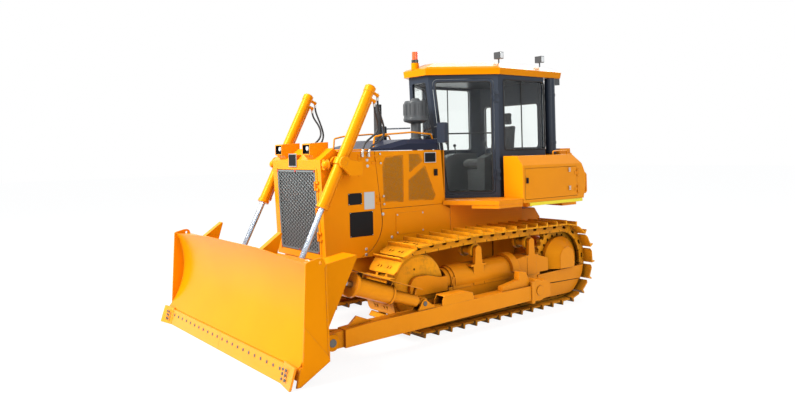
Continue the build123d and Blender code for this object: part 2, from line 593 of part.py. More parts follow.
with BuildPart() as blade:
    # rolled mouldboard and the lip behind the cutting edge
    with BuildSketch(side(BLADE_HALF)):
        with BuildLine():
            RadiusArc((2498.6, 1180), (LIP_X, LIP_Z), -BOARD_R)
            Polyline((LIP_X, LIP_Z), (lip_x(80) - 0.3, 80), (lip_x(80) - 22, 80), (2548, 195))
            RadiusArc((2548, 195), (2482, 1182), BOARD_R + BOARD)
            Line((2482, 1182), (2498.6, 1180))
        make_face()
    extrude(amount=2 * BLADE_HALF)
    # box beams along the top and bottom of the back
    with BuildSketch(side(BLADE_HALF)):
        with BuildLine():
            Polyline((2285, 1108), (2272, 985), (2385, 930), (2405, 1000), (2440, 1108), (2285, 1108))
        make_face()
    extrude(amount=2 * BLADE_HALF)
    with BuildSketch(side(BLADE_HALF)):
        with BuildLine():
            Polyline((2262, 190), (2250, 350), (2420, 440), (2480, 300), (2550, 192), (2262, 190))
        make_face()
    extrude(amount=2 * BLADE_HALF)
    # ribs between the beams, the lift lugs' backing plates among them
    for y, width, back in ((1500, 20, 2290), (1120, 20, 2290), (YOKE_Y, 260, 2262), (300, 20, 2290),
                           (-280, 20, 2290), (260 - YOKE_Y, 260, 2262), (-1100, 20, 2290),
                           (-1480, 20, 2290)):
        with BuildSketch(side(y if width == 20 else y + 130 if y > 0 else y - 130)):
            with BuildLine():
                Polyline((back, 330), (back, 1000), (2395, 1000), (2366, 850), (2362, 650),
                         (2395, 480), (2440, 360), (back, 330))
            make_face()
        extrude(amount=width)
    # everything above the top edge goes: level in the middle, falling to both ends
    with BuildSketch(front(2200)):
        with BuildLine():
            Polyline((-1800, BLADE_TOP - 6), (-BLADE_HALF, BLADE_TOP), (-CROWN_HALF, BLADE_TOP + BLADE_CROWN),
                     (CROWN_HALF, BLADE_TOP + BLADE_CROWN), (BLADE_HALF, BLADE_TOP),
                     (1800, BLADE_TOP - 6), (1800, 1400), (-1800, 1400), (-1800, BLADE_TOP - 6))
        make_face()
    extrude(amount=500, mode=Mode.SUBTRACT)
    # side plates, straight in front of the hollow face, each with a wear plate at its foot
    for y, out in ((BLADE_HALF + SIDE_PLATE, 6), (-BLADE_HALF, -SIDE_PLATE)):
        with BuildSketch(side(y)):
            with BuildLine():
                Polyline((2488, 1128), (2533, 194), (LIP_X - 2, 188), (lip_x(16) - 3, 16), (2557, 16),
                         (2242, 190), (2265, 1083), (2295, 1150), (2322, 1163), (2362, 1163), (2462, 1140),
                         close=True)
            make_face()
            with Locations((2331, 1122)):
                Circle(16, mode=Mode.SUBTRACT)
        extrude(amount=SIDE_PLATE)
        with BuildSketch(side(y + out)):
            with BuildLine():
                Polyline((2514, 553), (2531, 196), (LIP_X - 6, 186), (lip_x(24) - 6, 24), (2557, 26), (2250, 196),
                         (2252, 232), close=True)
            make_face()
        extrude(amount=6)
        # stiffening strip down the back edge
        with BuildSketch(side(y + out)):
            with BuildLine():
                Polyline((2246, 250), (2268, 1070), (2284, 1070), (2264, 250), close=True)
            make_face()
        extrude(amount=6)
    # spill-guard horns
    for y in (800, -720):
        with BuildSketch(side(y)):
            with BuildLine():
                Polyline((2474, 1160), (2250, 1318), (2238, 1306), (2300, 1100), (2444, 1100),
                         (2474, 1160))
            make_face()
        extrude(amount=80)
    # lift lugs
    for y in (YOKE_Y - 60, YOKE_Y + 35, -YOKE_Y - 60, -YOKE_Y + 35):
        with BuildSketch(side(y + 25)):
            with Locations((ROD_EYE_X, ROD_EYE_Z)):
                Circle(72)
            with BuildLine():
                Polyline((ROD_EYE_X - 40, ROD_EYE_Z - 60), (2270, 560), (2270, 930),
                         (ROD_EYE_X + 10, ROD_EYE_Z + 71), close=True)
            make_face()
            with Locations((ROD_EYE_X, ROD_EYE_Z)):
                Circle(30, mode=Mode.SUBTRACT)
        extrude(amount=25)
    # ears of the push arms
    for y in (ARM_Y - 70, ARM_Y + 46, -ARM_Y - 70, -ARM_Y + 46):
        with BuildSketch(side(y + 24)):
            with Locations((BLADE_PIN_X, BLADE_PIN_Z)):
                Circle(82)
            with BuildLine():
                Polyline((BLADE_PIN_X - 20, BLADE_PIN_Z - 79), (2275, 192), (2275, 345),
                         (BLADE_PIN_X + 10, BLADE_PIN_Z + 81), close=True)
            make_face()
            with Locations((BLADE_PIN_X, BLADE_PIN_Z)):
                Circle(40.3, mode=Mode.SUBTRACT)
        extrude(amount=24)
    # cover over the end of the tilt cylinder, on the left
    add(slab(1130, 1140, (2300, 1000), (2300, 540), (2050, 400), (1910, 660), (1695, 1060), (1700, 1085)))
    add(slab(1370, 1380, (2300, 1000), (2300, 540), (2050, 400), (1910, 660), (1695, 1060), (1700, 1085)))
    add(slab(1130, 1380, (1695, 1075), (1700, 1087), (2300, 1002), (2300, 990)))
blade.part.label = "blade"
export_step(blade.part, "parts/blade.step")

with BuildPart() as cutting_edges:
    for low, high in ((-1457, -2), (2, 1457)):
        add(slab(low, high, (lip_x(181), 181), (lip_x(6), 6), (lip_x(6) + 22, 6),
                 (lip_x(181) + 22, 186)))
    # end bits, flared forwards
    for y, flare in ((1461, 0), (BLADE_HALF + SIDE_PLATE, 48)):
        with BuildSketch(side(y)):
            with BuildLine():
                Polyline((lip_x(200) + 2 + flare * 0.6, 200), (lip_x(6) + 2 + flare, 6),
                         (lip_x(6) + 25 + flare, 6), (lip_x(200) + 24 + flare * 0.6, 204), close=True)
            make_face()
    loft()
    mirror(about=Plane.XZ)
cutting_edges.part.label = "cutting_edges"
export_step(cutting_edges.part, "parts/cutting_edges.step")

with BuildPart() as push_arm:
    low, high = ARM_Y - ARM_WIDTH / 2, ARM_Y + ARM_WIDTH / 2
    add(slab(low, high, (-960, 222), (-960, 402), (1500, 372), (1860, 350), (1860, 168), (1500, 178)))
    # taller collar and the split socket round the trunnion
    add(slab(low - 4, high + 14, (-985, 180), (-985, 452), (-930, 452), (-930, 180)))
    with BuildSketch(side(high)):
        with Locations((TRUNNION_X, TRUNNION_Z)):
            Circle(128)
        with BuildLine():
            Polyline((-960, 205), (-960, 440), (-1040, 478), (-1120, 450), (-1120, 200), close=True)
        make_face()
    extrude(amount=ARM_WIDTH)
    with BuildSketch(side(high + 30)):
        with Locations((TRUNNION_X, TRUNNION_Z)):
            Circle(60.3)
    extrude(amount=ARM_WIDTH + 60, mode=Mode.SUBTRACT)
    # narrower eye between the blade's ears
    with BuildSketch(side(ARM_Y + 40)):
        with Locations((BLADE_PIN_X, BLADE_PIN_Z)):
            Circle(78)
        with BuildLine():
            Polyline((1850, 172), (1850, 344), (BLADE_PIN_X, 322), (BLADE_PIN_X, 168), close=True)
        make_face()
        with Locations((BLADE_PIN_X, BLADE_PIN_Z)):
            Circle(40.3, mode=Mode.SUBTRACT)
    extrude(amount=80)
    # casting over the trunnion: long nose, lifting ear and cap
    add(slab(ARM_Y - 42, ARM_Y + 42, (-440, 380), (-454, 452), (-740, 496), (-756, 602), (-872, 584), (-930, 470),
             (-956, 440), (-900, 380)))
    add(slab(low, high, (-1150, 215), (-1300, 236), (-1300, 388), (-1215, 452), (-1150, 440)))
    # guard for the hoses on top, and a gusset near the front
    add(slab(ARM_Y - 74, ARM_Y + 74, (60, 380), (84, 470), (180, 496), (520, 496), (552, 440), (556, 380)))
    add(slab(ARM_Y - 62, ARM_Y + 62, (90, 384), (110, 464), (190, 484), (600, 484), (600, 384)),
        mode=Mode.SUBTRACT)
    add(slab(low + 10, high - 10, (60, 360), (60, 386), (600, 386), (600, 360)))
    add(slab(ARM_Y - 14, ARM_Y + 14, (1470, 365), (1680, 452), (1812, 345)))
    # stay from the arm to the middle of the blade's back
    add(rod((1590, low + 18, 275), (2236, 968, 290), 30))
    add(block(2196, 2238, 926, 1000, 240, 340))
    # ears of the tilt cylinder or brace
    for y in (ARM_Y - 60, ARM_Y + 40):
        add(slab(y, y + 20, (640, 383), (760, 470), (800, 500), (842, 470), (900, 379),
                 holes=((800, 448, 26.3),)))
save_pair(push_arm, "push_arm")

with BuildPart() as blade_pins:
    for y in (ARM_Y, -ARM_Y):
        add(rod((BLADE_PIN_X, y - 76, BLADE_PIN_Z), (BLADE_PIN_X, y + 76, BLADE_PIN_Z), 40))
        add(rod((800, y - 66, 448), (800, y + 66, 448), 26))
    # stubs of the lift cylinders' pins, one in each lug
    for y in (YOKE_Y - 66, YOKE_Y + 35, -YOKE_Y - 66, -YOKE_Y + 35):
        add(rod((ROD_EYE_X, y, ROD_EYE_Z), (ROD_EYE_X, y + 31, ROD_EYE_Z), 29.7))
blade_pins.part.label = "blade_pins"
export_step(blade_pins.part, "parts/blade_pins.step")

# tilt cylinder on the left, plain brace on the right, both from arm to blade
tilt_start, tilt_end = Vector(800, ARM_Y, 448), Vector(2180, ARM_Y, 937)
tilt_line = (tilt_end - tilt_start).normalized()
tilt_frame = Plane(origin=tilt_start, x_dir=(0, 1, 0), z_dir=tilt_line)
with BuildPart() as tilt_cylinder:
    with BuildSketch(side(ARM_Y + 37)):
        with Locations((tilt_start.X, tilt_start.Z)):
            Circle(60)
    extrude(amount=74)
    add(drum(tilt_frame, 36, 120))
    add(drum(tilt_frame.offset(100), 66, 380))
    add(drum(tilt_frame.offset(470), 104, 520))
    add(drum(tilt_frame.offset(960), 128, 34))
    # bolts' ring on the gland and a port on top of the barrel
    add(drum(tilt_frame.offset(470), 112, 26))
    # guard plate over the barrel, narrowing towards the pivot
    tilt_up = Vector(-tilt_line.Z, 0, tilt_line.X)
    with BuildSketch(Plane(origin=tilt_start + tilt_up * 138, x_dir=tilt_line, z_dir=tilt_up)):
        with BuildLine():
            Polyline((70, -48), (70, 48), (470, 118), (990, 118), (990, -118), (470, -118), close=True)
        make_face()
    extrude(amount=9)
    for along, width in ((130, 40), (500, 90), (900, 90)):
        with BuildSketch(tilt_frame.offset(along)):
            with Locations((0, 80)):
                Rectangle(width, 122)
        extrude(amount=16)
    add(rod((800, ARM_Y - 75, 448), (800, ARM_Y + 75, 448), 26.3), mode=Mode.SUBTRACT)
    add(drum(tilt_frame.offset(560), 33, 500),
        mode=Mode.SUBTRACT)
tilt_cylinder.part.label = "tilt_cylinder"
export_step(tilt_cylinder.part, "parts/tilt_cylinder.step")

with BuildPart() as tilt_rod:
    add(drum(tilt_frame.offset(562), 32, 800))
tilt_rod.part.label = "tilt_rod"
export_step(tilt_rod.part, "parts/tilt_rod.step")

with BuildPart() as tilt_brace:
    with BuildSketch(side(37 - ARM_Y)):
        with Locations((tilt_start.X, tilt_start.Z)):
            Circle(60)
    extrude(amount=74)
    brace_frame = Plane(origin=(800, -ARM_Y, 448), x_dir=(0, 1, 0), z_dir=tilt_line)
    add(drum(brace_frame, 36, 1380))
    add(drum(brace_frame.offset(480), 68, 620))
    add(rod((800, -ARM_Y - 60, 448), (800, -ARM_Y + 60, 448), 26.3), mode=Mode.SUBTRACT)
tilt_brace.part.label = "tilt_brace"
export_step(tilt_brace.part, "parts/tilt_brace.step")

# ---- lift cylinders: barrel in its yoke, rod down to the blade's lugs ------------------------
lift_line = Vector(ROD_EYE_X - YOKE_X, 0, ROD_EYE_Z - YOKE_Z)
with BuildPart() as lift_yokes:
    for y in (YOKE_Y - 112, YOKE_Y + 82):
        with BuildSketch(side(y + 30)):
            with Locations((YOKE_X, YOKE_Z)):
                Circle(70)
            with BuildLine():
                Polyline((YOKE_X - 60, YOKE_Z + 30), (YOKE_X - 120, YOKE_Z - 60), (YOKE_X - 60, YOKE_Z - 150),
                         (YOKE_X + 30, YOKE_Z - 60), close=True)
            make_face()
            with Locations((YOKE_X, YOKE_Z)):
                Circle(30.3, mode=Mode.SUBTRACT)
        extrude(amount=30)
    # arm from the housing's side, behind the barrel
    add(block(YOKE_X - 230, YOKE_X - 150, HOOD_HALF, YOKE_Y + 112, YOKE_Z - 150, YOKE_Z + 5))
    for y in (YOKE_Y - 112, YOKE_Y + 82):
        add(slab(y, y + 30, (YOKE_X - 230, YOKE_Z - 150), (YOKE_X - 230, YOKE_Z + 5),
                 (YOKE_X - 60, YOKE_Z + 30), (YOKE_X - 60, YOKE_Z - 150)))
    # domed bearing cap on its bracket, in front of the barrel
    add(block(YOKE_X + 102, YOKE_X + 158, HOOD_HALF, 632, YOKE_Z - 80, YOKE_Z + 36))
    with BuildSketch(Plane.XY.offset(YOKE_Z - 20)):
        with BuildLine():
            Polyline((YOKE_X + 120, 636), (YOKE_X + 120, 694), (YOKE_X + 136, 694), (YOKE_X + 136, 682),
                     (YOKE_X + 158, 680))
            ThreePointArc((YOKE_X + 158, 680), (YOKE_X + 180, 666), (YOKE_X + 188, 636))
            Line((YOKE_X + 188, 636), (YOKE_X + 120, 636))
        make_face()
    revolve(axis=Axis((YOKE_X, 636, YOKE_Z - 20), (1, 0, 0)))
    add(rod((YOKE_X, YOKE_Y - 112, YOKE_Z), (YOKE_X, YOKE_Y + 112, YOKE_Z), 30.3), mode=Mode.SUBTRACT)
    mirror(about=Plane.XZ)
lift_yokes.part.label = "lift_yokes"
export_step(lift_yokes.part, "parts/lift_yokes.step")

lift_frame = Plane(origin=(YOKE_X, YOKE_Y, YOKE_Z), x_dir=(0, 1, 0), z_dir=lift_line)
with BuildPart() as lift_barrel:
    with BuildSketch(lift_frame.offset(-TOP_REACH)):
        Circle(LIFT_TUBE_R)
    extrude(amount=TOP_REACH + GLAND_REACH)
    with BuildSketch(lift_frame.offset(-38)):
        Circle(78)
    extrude(amount=76)
    with BuildSketch(lift_frame.offset(GLAND_REACH - 40)):
        Circle(72)
    extrude(amount=40)
    add(rod((YOKE_X, YOKE_Y - 110, YOKE_Z), (YOKE_X, YOKE_Y + 110, YOKE_Z), 30))
    # cap at the top, with the ports' block and two elbows behind it
    for along, r, length in ((-TOP_REACH - 16, LIFT_TUBE_R - 14, 20), (-TOP_REACH, LIFT_TUBE_R + 5, 70)):
        with BuildSketch(lift_frame.offset(along)):
            Circle(r)
        extrude(amount=length)
    lift_back = Vector(lift_line.Z, 0, -lift_line.X).normalized()
    ports = []              # lower ends of the elbows, where the hoses start
    for along, reach in ((20, 142), (105, 132)):
        base = Vector(YOKE_X, YOKE_Y, YOKE_Z) + lift_line.normalized() * (along - TOP_REACH + 20)
        add(rod(base + lift_back * 40, base + lift_back * reach, 19))
        add(rod(base + lift_back * (reach - 16) - Vector(0, 0, 26), base + lift_back * (reach - 16) + Vector(0, 0, 20),
                16))
        ports.append(base + lift_back * (reach - 16) - Vector(0, 0, 27))
    # pipe down the back to the port by the gland
    pipe_side = lift_back * (LIFT_TUBE_R + 16)
    top = Vector(YOKE_X, YOKE_Y, YOKE_Z) + lift_line.normalized() * (130 - TOP_REACH)
    foot = Vector(YOKE_X, YOKE_Y, YOKE_Z) + lift_line.normalized() * (GLAND_REACH - 90)
    add(rod(top + pipe_side, foot + pipe_side, 9))
    add(rod(foot + pipe_side - lift_line.normalized() * 10, foot + pipe_side + lift_line.normalized() * 34, 15))
    for along in (170 - TOP_REACH, -200, 120, GLAND_REACH - 70):
        base = Vector(YOKE_X, YOKE_Y, YOKE_Z) + lift_line.normalized() * along
        add(rod(base + lift_back * 30, base + lift_back * (LIFT_TUBE_R + 24), 13))
    with BuildSketch(lift_frame.offset(-TOP_REACH + 30)):
        Circle(LIFT_BORE_R)
    extrude(amount=TOP_REACH + GLAND_REACH - 70, mode=Mode.SUBTRACT)
    with BuildSketch(lift_frame.offset(GLAND_REACH - 60)):
        Circle(LIFT_ROD_R + 0.5)
    extrude(amount=80, mode=Mode.SUBTRACT)
save_pair(lift_barrel, "lift_barrel")

with BuildPart() as lift_rod:
    with BuildSketch(lift_frame.offset(30)):
        Circle(LIFT_ROD_R)
    extrude(amount=lift_line.length - 60)
    with BuildSketch(lift_frame.offset(30)):
        Circle(LIFT_BORE_R - 0.5)
    extrude(amount=50)
    with BuildSketch(side(YOKE_Y + 28)):
        with Locations((ROD_EYE_X, ROD_EYE_Z)):
            Circle(58)
    extrude(amount=56)
    with BuildSketch(side(YOKE_Y + 40)):
        with Locations((ROD_EYE_X, ROD_EYE_Z)):
            Circle(31)
    extrude(amount=80, mode=Mode.SUBTRACT)
save_pair(lift_rod, "lift_rod")

# ---- platform, side boxes and tank ----------------------------------------------------------
with BuildPart() as floor_platform:
    with BuildSketch(Plane.XY.offset(1432)):
        with BuildLine():
            Polyline((-335, 585), (-186, 592), (-590, 1200), (-1030, 1200), (-1030, 865), (-2180, 865),
                     (-2180, -865), (-1030, -865), (-1030, -1200), (-590, -1200), (-186, -592), (-335, -585),
                     close=True)
        make_face()
    extrude(amount=58)
    # box section under the outer part of each step
    with BuildSketch(Plane.XY.offset(1389)):
        for end in (1, -1):
            with BuildLine():
                Polyline((-400, end * 900), (-596, end * 1194), (-1030, end * 1194), (-1030, end * 900), close=True)
            make_face()
    extrude(amount=44)
    # carrier under the cab, and brackets under the side boxes
    add(block(-365, -325, -575, 575, 965, 1433))
    for y in (540, -575):
        add(block(-1700, -325, y, y + 35, 965, 1433))
    for x in (-1240, -2060):
        for y in (700, -1170):
            add(block(x, x + 90, y, y + 470, 1372, 1429))
            add(block(x, x + 90, y + (0 if y > 0 else 306), y + (164 if y > 0 else 470), 1372, 1433))
floor_platform.part.label = "floor_platform"
export_step(floor_platform.part, "parts/floor_platform.step")

BOX_IN, BOX_OUT, BOX_LOW, BOX_TOP = 866, 1206, 1430, 2043
HINGE_BOX_X = -2150
with BuildPart() as fender_box:
    add(slab(BOX_IN, BOX_OUT, (-1035, BOX_LOW), (-1035, BOX_TOP), (-2170, BOX_TOP), (-2262, 1906),
             (-2337, 1766), (-2330, 1600), (-2284, BOX_LOW)))
fender_box_body = fender_box.part - bar(
    -2500, -900, (BOX_OUT + 1, BOX_TOP - 126), (BOX_OUT + 1, BOX_TOP + 1), (BOX_OUT - 98, BOX_TOP + 1))
fender_box_body -= slab(BOX_IN + 6, BOX_OUT - 104, (-1041, BOX_LOW + 6), (-1041, BOX_TOP - 6),
                        (-2166, BOX_TOP - 6), (-2255, 1904), (-2330, 1765), (-2323, 1603),
                        (-2279, BOX_LOW + 6))
fender_box_body -= slab(BOX_OUT - 106, BOX_OUT - 6, (-1041, BOX_LOW + 6), (-1041, 1900), (-2250, 1900),
                        (-2330, 1765), (-2323, 1603), (-2279, BOX_LOW + 6))
fender_box_body -= block(HINGE_BOX_X + 4, -1075, BOX_OUT - 20, BOX_OUT + 10, BOX_LOW + 40, 1880)
for z in (1560, 1790):
    for low in (z - 50, z + 26):
        fender_box_body += rod((HINGE_BOX_X + 4, BOX_OUT + 10, low), (HINGE_BOX_X + 4, BOX_OUT + 10, low + 24), 8)
        fender_box_body += block(HINGE_BOX_X - 50, HINGE_BOX_X + 3, BOX_OUT - 1, BOX_OUT + 6, low, low + 24)
for hand, solid in (("left", fender_box_body), ("right", mirror(fender_box_body, about=Plane.XZ))):
    solid.label = f"fender_box_{hand}"
    export_step(solid, f"parts/fender_box_{hand}.step")

with BuildPart() as box_door:
    add(block(HINGE_BOX_X + 9, -1080, BOX_OUT - 5, BOX_OUT + 1, BOX_LOW + 45, 1875))
    # latch and the door's half of its hinges
    add(block(-1124, -1092, BOX_OUT, BOX_OUT + 8, 1690, 1750))
    for z in (1560, 1790):
        add(rod((HINGE_BOX_X + 4, BOX_OUT + 10, z - 24), (HINGE_BOX_X + 4, BOX_OUT + 10, z + 24), 8))
        add(block(HINGE_BOX_X + 5, HINGE_BOX_X + 60, BOX_OUT, BOX_OUT + 6, z - 22, z + 22))
save_pair(box_door, "box_door")

with BuildPart() as fuel_tank:
    add(slab(-860, 860, (-2560, 1300), (-2560, 1900), (-2480, 2060), (-2240, 2060), (-2240, 1300)))
    add(slab(-830, 830, (-2496, 2050), (-2484, 2128), (-2262, 2128), (-2250, 2050)))
    # filler neck
    add(rod((-2380, 380, 2100), (-2380, 380, 2168), 58))
fuel_tank.part.label = "fuel_tank"
export_step(fuel_tank.part, "parts/fuel_tank.step")

# ---- cab: six-sided shell with a raked windscreen ---------------------------------------------
KINK_X = -1055          # where a door's plane meets the straight rear side
DOOR_OUT = Vector(580, 759, 0).normalized()     # outward from the left door
DOOR_ALONG = Vector(759, -580, 0).normalized()  # forwards in the left door's plane
APEX_X = KINK_X + CAB_HALF * 759 / 580
CAB_REAR_X = -2140
SCREEN_LOW, SCREEN_HIGH = (-443, 1500), (-296, 3157)
SCREEN_LEAN = (SCREEN_HIGH[0] - SCREEN_LOW[0]) / (SCREEN_HIGH[1] - SCREEN_LOW[1])


def cab_block(inset, z_low, z_high):
    """Solid with the cab's outline, this far inside its outer faces."""
    with BuildSketch() as plan:
        with BuildLine():
            Polyline((APEX_X, 0), (KINK_X, CAB_HALF), (-1990, CAB_HALF), (CAB_REAR_X, 640),
                     (CAB_REAR_X, -640), (-1990, -CAB_HALF), (KINK_X, -CAB_HALF), close=True)
        make_face()
        if inset:
            offset(amount=-inset, kind=Kind.INTERSECTION, mode=Mode.REPLACE)
    body = Pos(0, 0, z_low) * extrude(plan.sketch_local, amount=z_high - z_low)
    x_low = SCREEN_LOW[0] - inset + SCREEN_LEAN * (z_low - SCREEN_LOW[1])
    x_high = SCREEN_LOW[0] - inset + SCREEN_LEAN * (z_high - SCREEN_LOW[1])
    return body - slab(-900, 900, (x_low, z_low), (x_high, z_high), (600, z_high), (600, z_low))


def door_plane(depth):
    """Plane in the left door, this far inside its outer face: x forwards from the kink, y up."""
    return Plane(origin=Vector(KINK_X, CAB_HALF, 0) - DOOR_OUT * depth, x_dir=DOOR_ALONG,
                 z_dir=-DOOR_OUT)


def door_plate(s_low, s_high, z_low, z_high, outside, thick):
    """Plate on the left door's plane, from this far outside it inwards."""
    with BuildSketch() as plate:
        with Locations(((s_low + s_high) / 2, (z_low + z_high) / 2)):
            Rectangle(s_high - s_low, z_high - z_low)
    return extrude(door_plane(-outside) * plate.sketch_local, amount=thick, mode=Mode.PRIVATE)


CAB_HINGE_ZS = (1790, 2850)
# door opening: rear edge, front edge low and high, sill and head
JAMB, FRONT_LOW, FRONT_HIGH, SILL_Z, HEAD_Z = 60, 746, 898, 1536, 3096


def door_outline(gap):
    """Face with the door opening's outline, made smaller by this gap."""
    with BuildSketch() as outline:
        with BuildLine():
            Polyline((JAMB, SILL_Z), (FRONT_LOW, SILL_Z), (FRONT_HIGH, HEAD_Z), (JAMB, HEAD_Z), close=True)
        make_face()
        if gap:
            offset(amount=-gap, kind=Kind.INTERSECTION, mode=Mode.REPLACE)
        fillet(outline.vertices(), max(70 - gap, 20))
    return outline.sketch_local


cab_shell = cab_block(0, 1492, CAB_TOP_Z) - cab_block(CAB_WALL, 1530, CAB_TOP_Z - 40)
cab_shell -= extrude(door_plane(-20) * door_outline(0), amount=90)
cab_shell -= mirror(extrude(door_plane(-20) * door_outline(0), amount=90), about=Plane.XZ)
with BuildSketch(Plane.XZ) as side_window:
    with Locations((-1570, 2605)):
        RectangleRounded(830, 960, 50)
cab_shell -= extrude(side_window.sketch, amount=900, both=True)
with BuildSketch(Plane.YZ) as rear_window:
    with Locations((0, 2475)):
        RectangleRounded(1106, 660, 60)
cab_shell -= Pos(-2300, 0, 0) * extrude(rear_window.sketch, amount=400)
with BuildSketch(Plane.YZ) as screen:
    with BuildLine():
        Polyline((-236, 1700), (236, 1700), (142, 3060), (-142, 3060), close=True)
    make_face()
    fillet(screen.vertices(), 30)
cab_shell -= Pos(-700, 0, 0) * extrude(screen.sketch, amount=600)
# halves of the doors' hinges that stay on the pillars
for z in CAB_HINGE_ZS:
    for low in (z - 74, z + 26):
        axis = door_plane(-14).from_local_coords(Vector(JAMB, low, 0))
        hinge = rod(axis, axis + Vector(0, 0, 48), 12) + door_plate(JAMB - 70, JAMB - 2, low, low + 48, 10, 13)
        cab_shell += hinge + mirror(hinge, about=Plane.XZ)
cab_shell.label = "cab_frame"
export_step(cab_shell, "parts/cab_frame.step")

with BuildPart() as cab_roof:
    for z, grow in ((CAB_TOP_Z, 0), (3235, 12), (3262, -40)):
        with BuildSketch(Plane.XY.offset(z)):
            with BuildLine():
                Polyline((-240 + grow, 235), (-1052, 815 + grow), (-2330 - grow, 805 + grow),
                         (-2330 - grow, -805 - grow), (-1052, -815 - grow), (-240 + grow, -235),
                         close=True)
            make_face()
    loft(ruled=True)
    with BuildSketch(Plane.XY.offset(3262)):
        with BuildLine():
            Polyline((-282, 215), (-1060, 760), (-2280, 750), (-2280, -750), (-1060, -760), (-282, -215),
                     close=True)
        make_face()
    extrude(amount=78, taper=70)
    # pad under the beacon
    add(rod((-300, -60, 3250), (-300, -60, 3345), 56))
cab_roof.part.label = "cab_roof"
export_step(cab_roof.part, "parts/cab_roof.step")

cab_glass = extrude(Plane.XZ.offset(-CAB_HALF + 15) * Pos(-1570, 2605) * RectangleRounded(824, 954, 47),
                    amount=6)
cab_glass += mirror(cab_glass, about=Plane.XZ)
cab_glass += extrude(Plane.YZ.offset(CAB_REAR_X + 18) * Pos(0, 2475) * RectangleRounded(1100, 654, 57),
                     amount=6)
with BuildSketch(Plane.YZ) as screen_pane:
    with BuildLine():
        Polyline((-233, 1703), (233, 1703), (139, 3057), (-139, 3057), close=True)
    make_face()
    fillet(screen_pane.vertices(), 28)
cab_glass += ((cab_block(18, 1600, 3100) - cab_block(24, 1590, 3110))
              & Pos(-700, 0, 0) * extrude(screen_pane.sketch, amount=600))
cab_glass.label = "cab_glass"
export_step(cab_glass, "parts/cab_glass.step")

with BuildPart() as cab_door:
    extrude(door_plane(0) * door_outline(6), amount=38)
    extrude(door_plane(-5) * door_outline(38), amount=60, mode=Mode.SUBTRACT)
    # door's half of each hinge, and its lock
    for z in CAB_HINGE_ZS:
        axis = door_plane(-14).from_local_coords(Vector(JAMB, z, 0))
        add(rod(axis - Vector(0, 0, 24), axis + Vector(0, 0, 24), 12))
        add(door_plate(JAMB + 2, JAMB + 38, z - 23, z + 23, 10, 13))
    add(door_plate(JAMB + 10, JAMB + 36, 2080, 2230, 8, 12))
save_pair(cab_door, "cab_door")

with BuildPart() as door_glass:
    extrude(door_plane(15) * door_outline(40), amount=6)
save_pair(door_glass, "door_glass")

# ---- inside the cab -----------------------------------------------------------------------
SEAT_X = -1590
with BuildPart() as seat_base:
    add(block(SEAT_X - 220, SEAT_X + 220, -190, 190, 1531, 1840))
seat_base.part.label = "seat_base"
export_step(seat_base.part, "parts/seat_base.step")

with BuildPart() as seat:
    with BuildSketch(side(250)):
        with BuildLine():
            Polyline((SEAT_X - 250, 1850), (SEAT_X + 290, 1870), (SEAT_X + 300, 1960),
                     (SEAT_X + 230, 2000), (SEAT_X - 250, 1970), close=True)
        make_face()
        fillet(vertices(), 18)
    extrude(amount=500)
    with BuildSketch(side(235)):
        with BuildLine():
            Polyline((SEAT_X - 262, 1880), (SEAT_X - 262, 2060), (SEAT_X - 330, 2500),
                     (SEAT_X - 430, 2500), (SEAT_X - 360, 1880), close=True)
        make_face()
        fillet(vertices(), 30)
    extrude(amount=470)
    # headrest
    with BuildSketch(side(150)):
        with Locations((SEAT_X - 385, 2590)):
            RectangleRounded(95, 200, 38)
    extrude(amount=300)
seat.part.label = "seat"
export_step(seat.part, "parts/seat.step")

with BuildPart() as consoles:
    for y in (320, -470):
        add(slab(y, y + 150, (-1700, 1531), (-1700, 2080), (-1250, 2080), (-1080, 2020), (-1060, 1531)))
    add(slab(-220, 220, (-620, 1531), (-640, 1980), (-560, 2060), (-500, 2060), (-500, 1531)))
consoles.part.label = "consoles"
export_step(consoles.part, "parts/consoles.step")

with BuildPart() as levers:
    for x, y, top in ((-1180, 395, 2230), (-1180, -395, 2240), (-1330, -395, 2200)):
        add(rod((x, y, 2063 if x > -1200 else 2081), (x + 20, y, top), 9))
        with Locations((x + 20, y, top)):
            Sphere(24)
levers.part.label = "levers"
export_step(levers.part, "parts/levers.step")

# ---- outside fittings -----------------------------------------------------------------------
with BuildPart() as rear_posts:
    for y in (745, -745):
        add(rod((-2160, y, 2061), (-2160, y, 3145), 74))
        for z in (2196, 2884):
            add(rod((-2160, y, z), (-2160, y, z + 40), 79))
rear_posts.part.label = "rear_posts"
export_step(rear_posts.part, "parts/rear_posts.step")

with BuildPart() as beacon:
    add(rod((-300, -60, 3345), (-300, -60, 3390), 50))
    add(rod((-300, -60, 3390), (-300, -60, 3500), 41))
beacon.part.label = "beacon"
export_step(beacon.part, "parts/beacon.step")

with BuildPart() as grab_handles:
    for y in (1160, -1160):
        with BuildLine() as path:
            FilletPolyline((-2338, y, 1770), (-2400, y, 1770), (-2400, y, 1500), (-2312, y, 1500), radius=30)
        with BuildSketch(path.line ^ 0):
            Circle(16)
        sweep(path=path.line)
    # low rails on top of the side boxes
    for y in (1060, -1060):
        with BuildLine() as path:
            FilletPolyline((-1820, y, 2044), (-1820, y, 2096), (-2120, y, 2096), (-2120, y, 2044), radius=20)
        with BuildSketch(path.line ^ 0):
            Circle(9)
        sweep(path=path.line)
grab_handles.part.label = "grab_handles"
export_step(grab_handles.part, "parts/grab_handles.step")

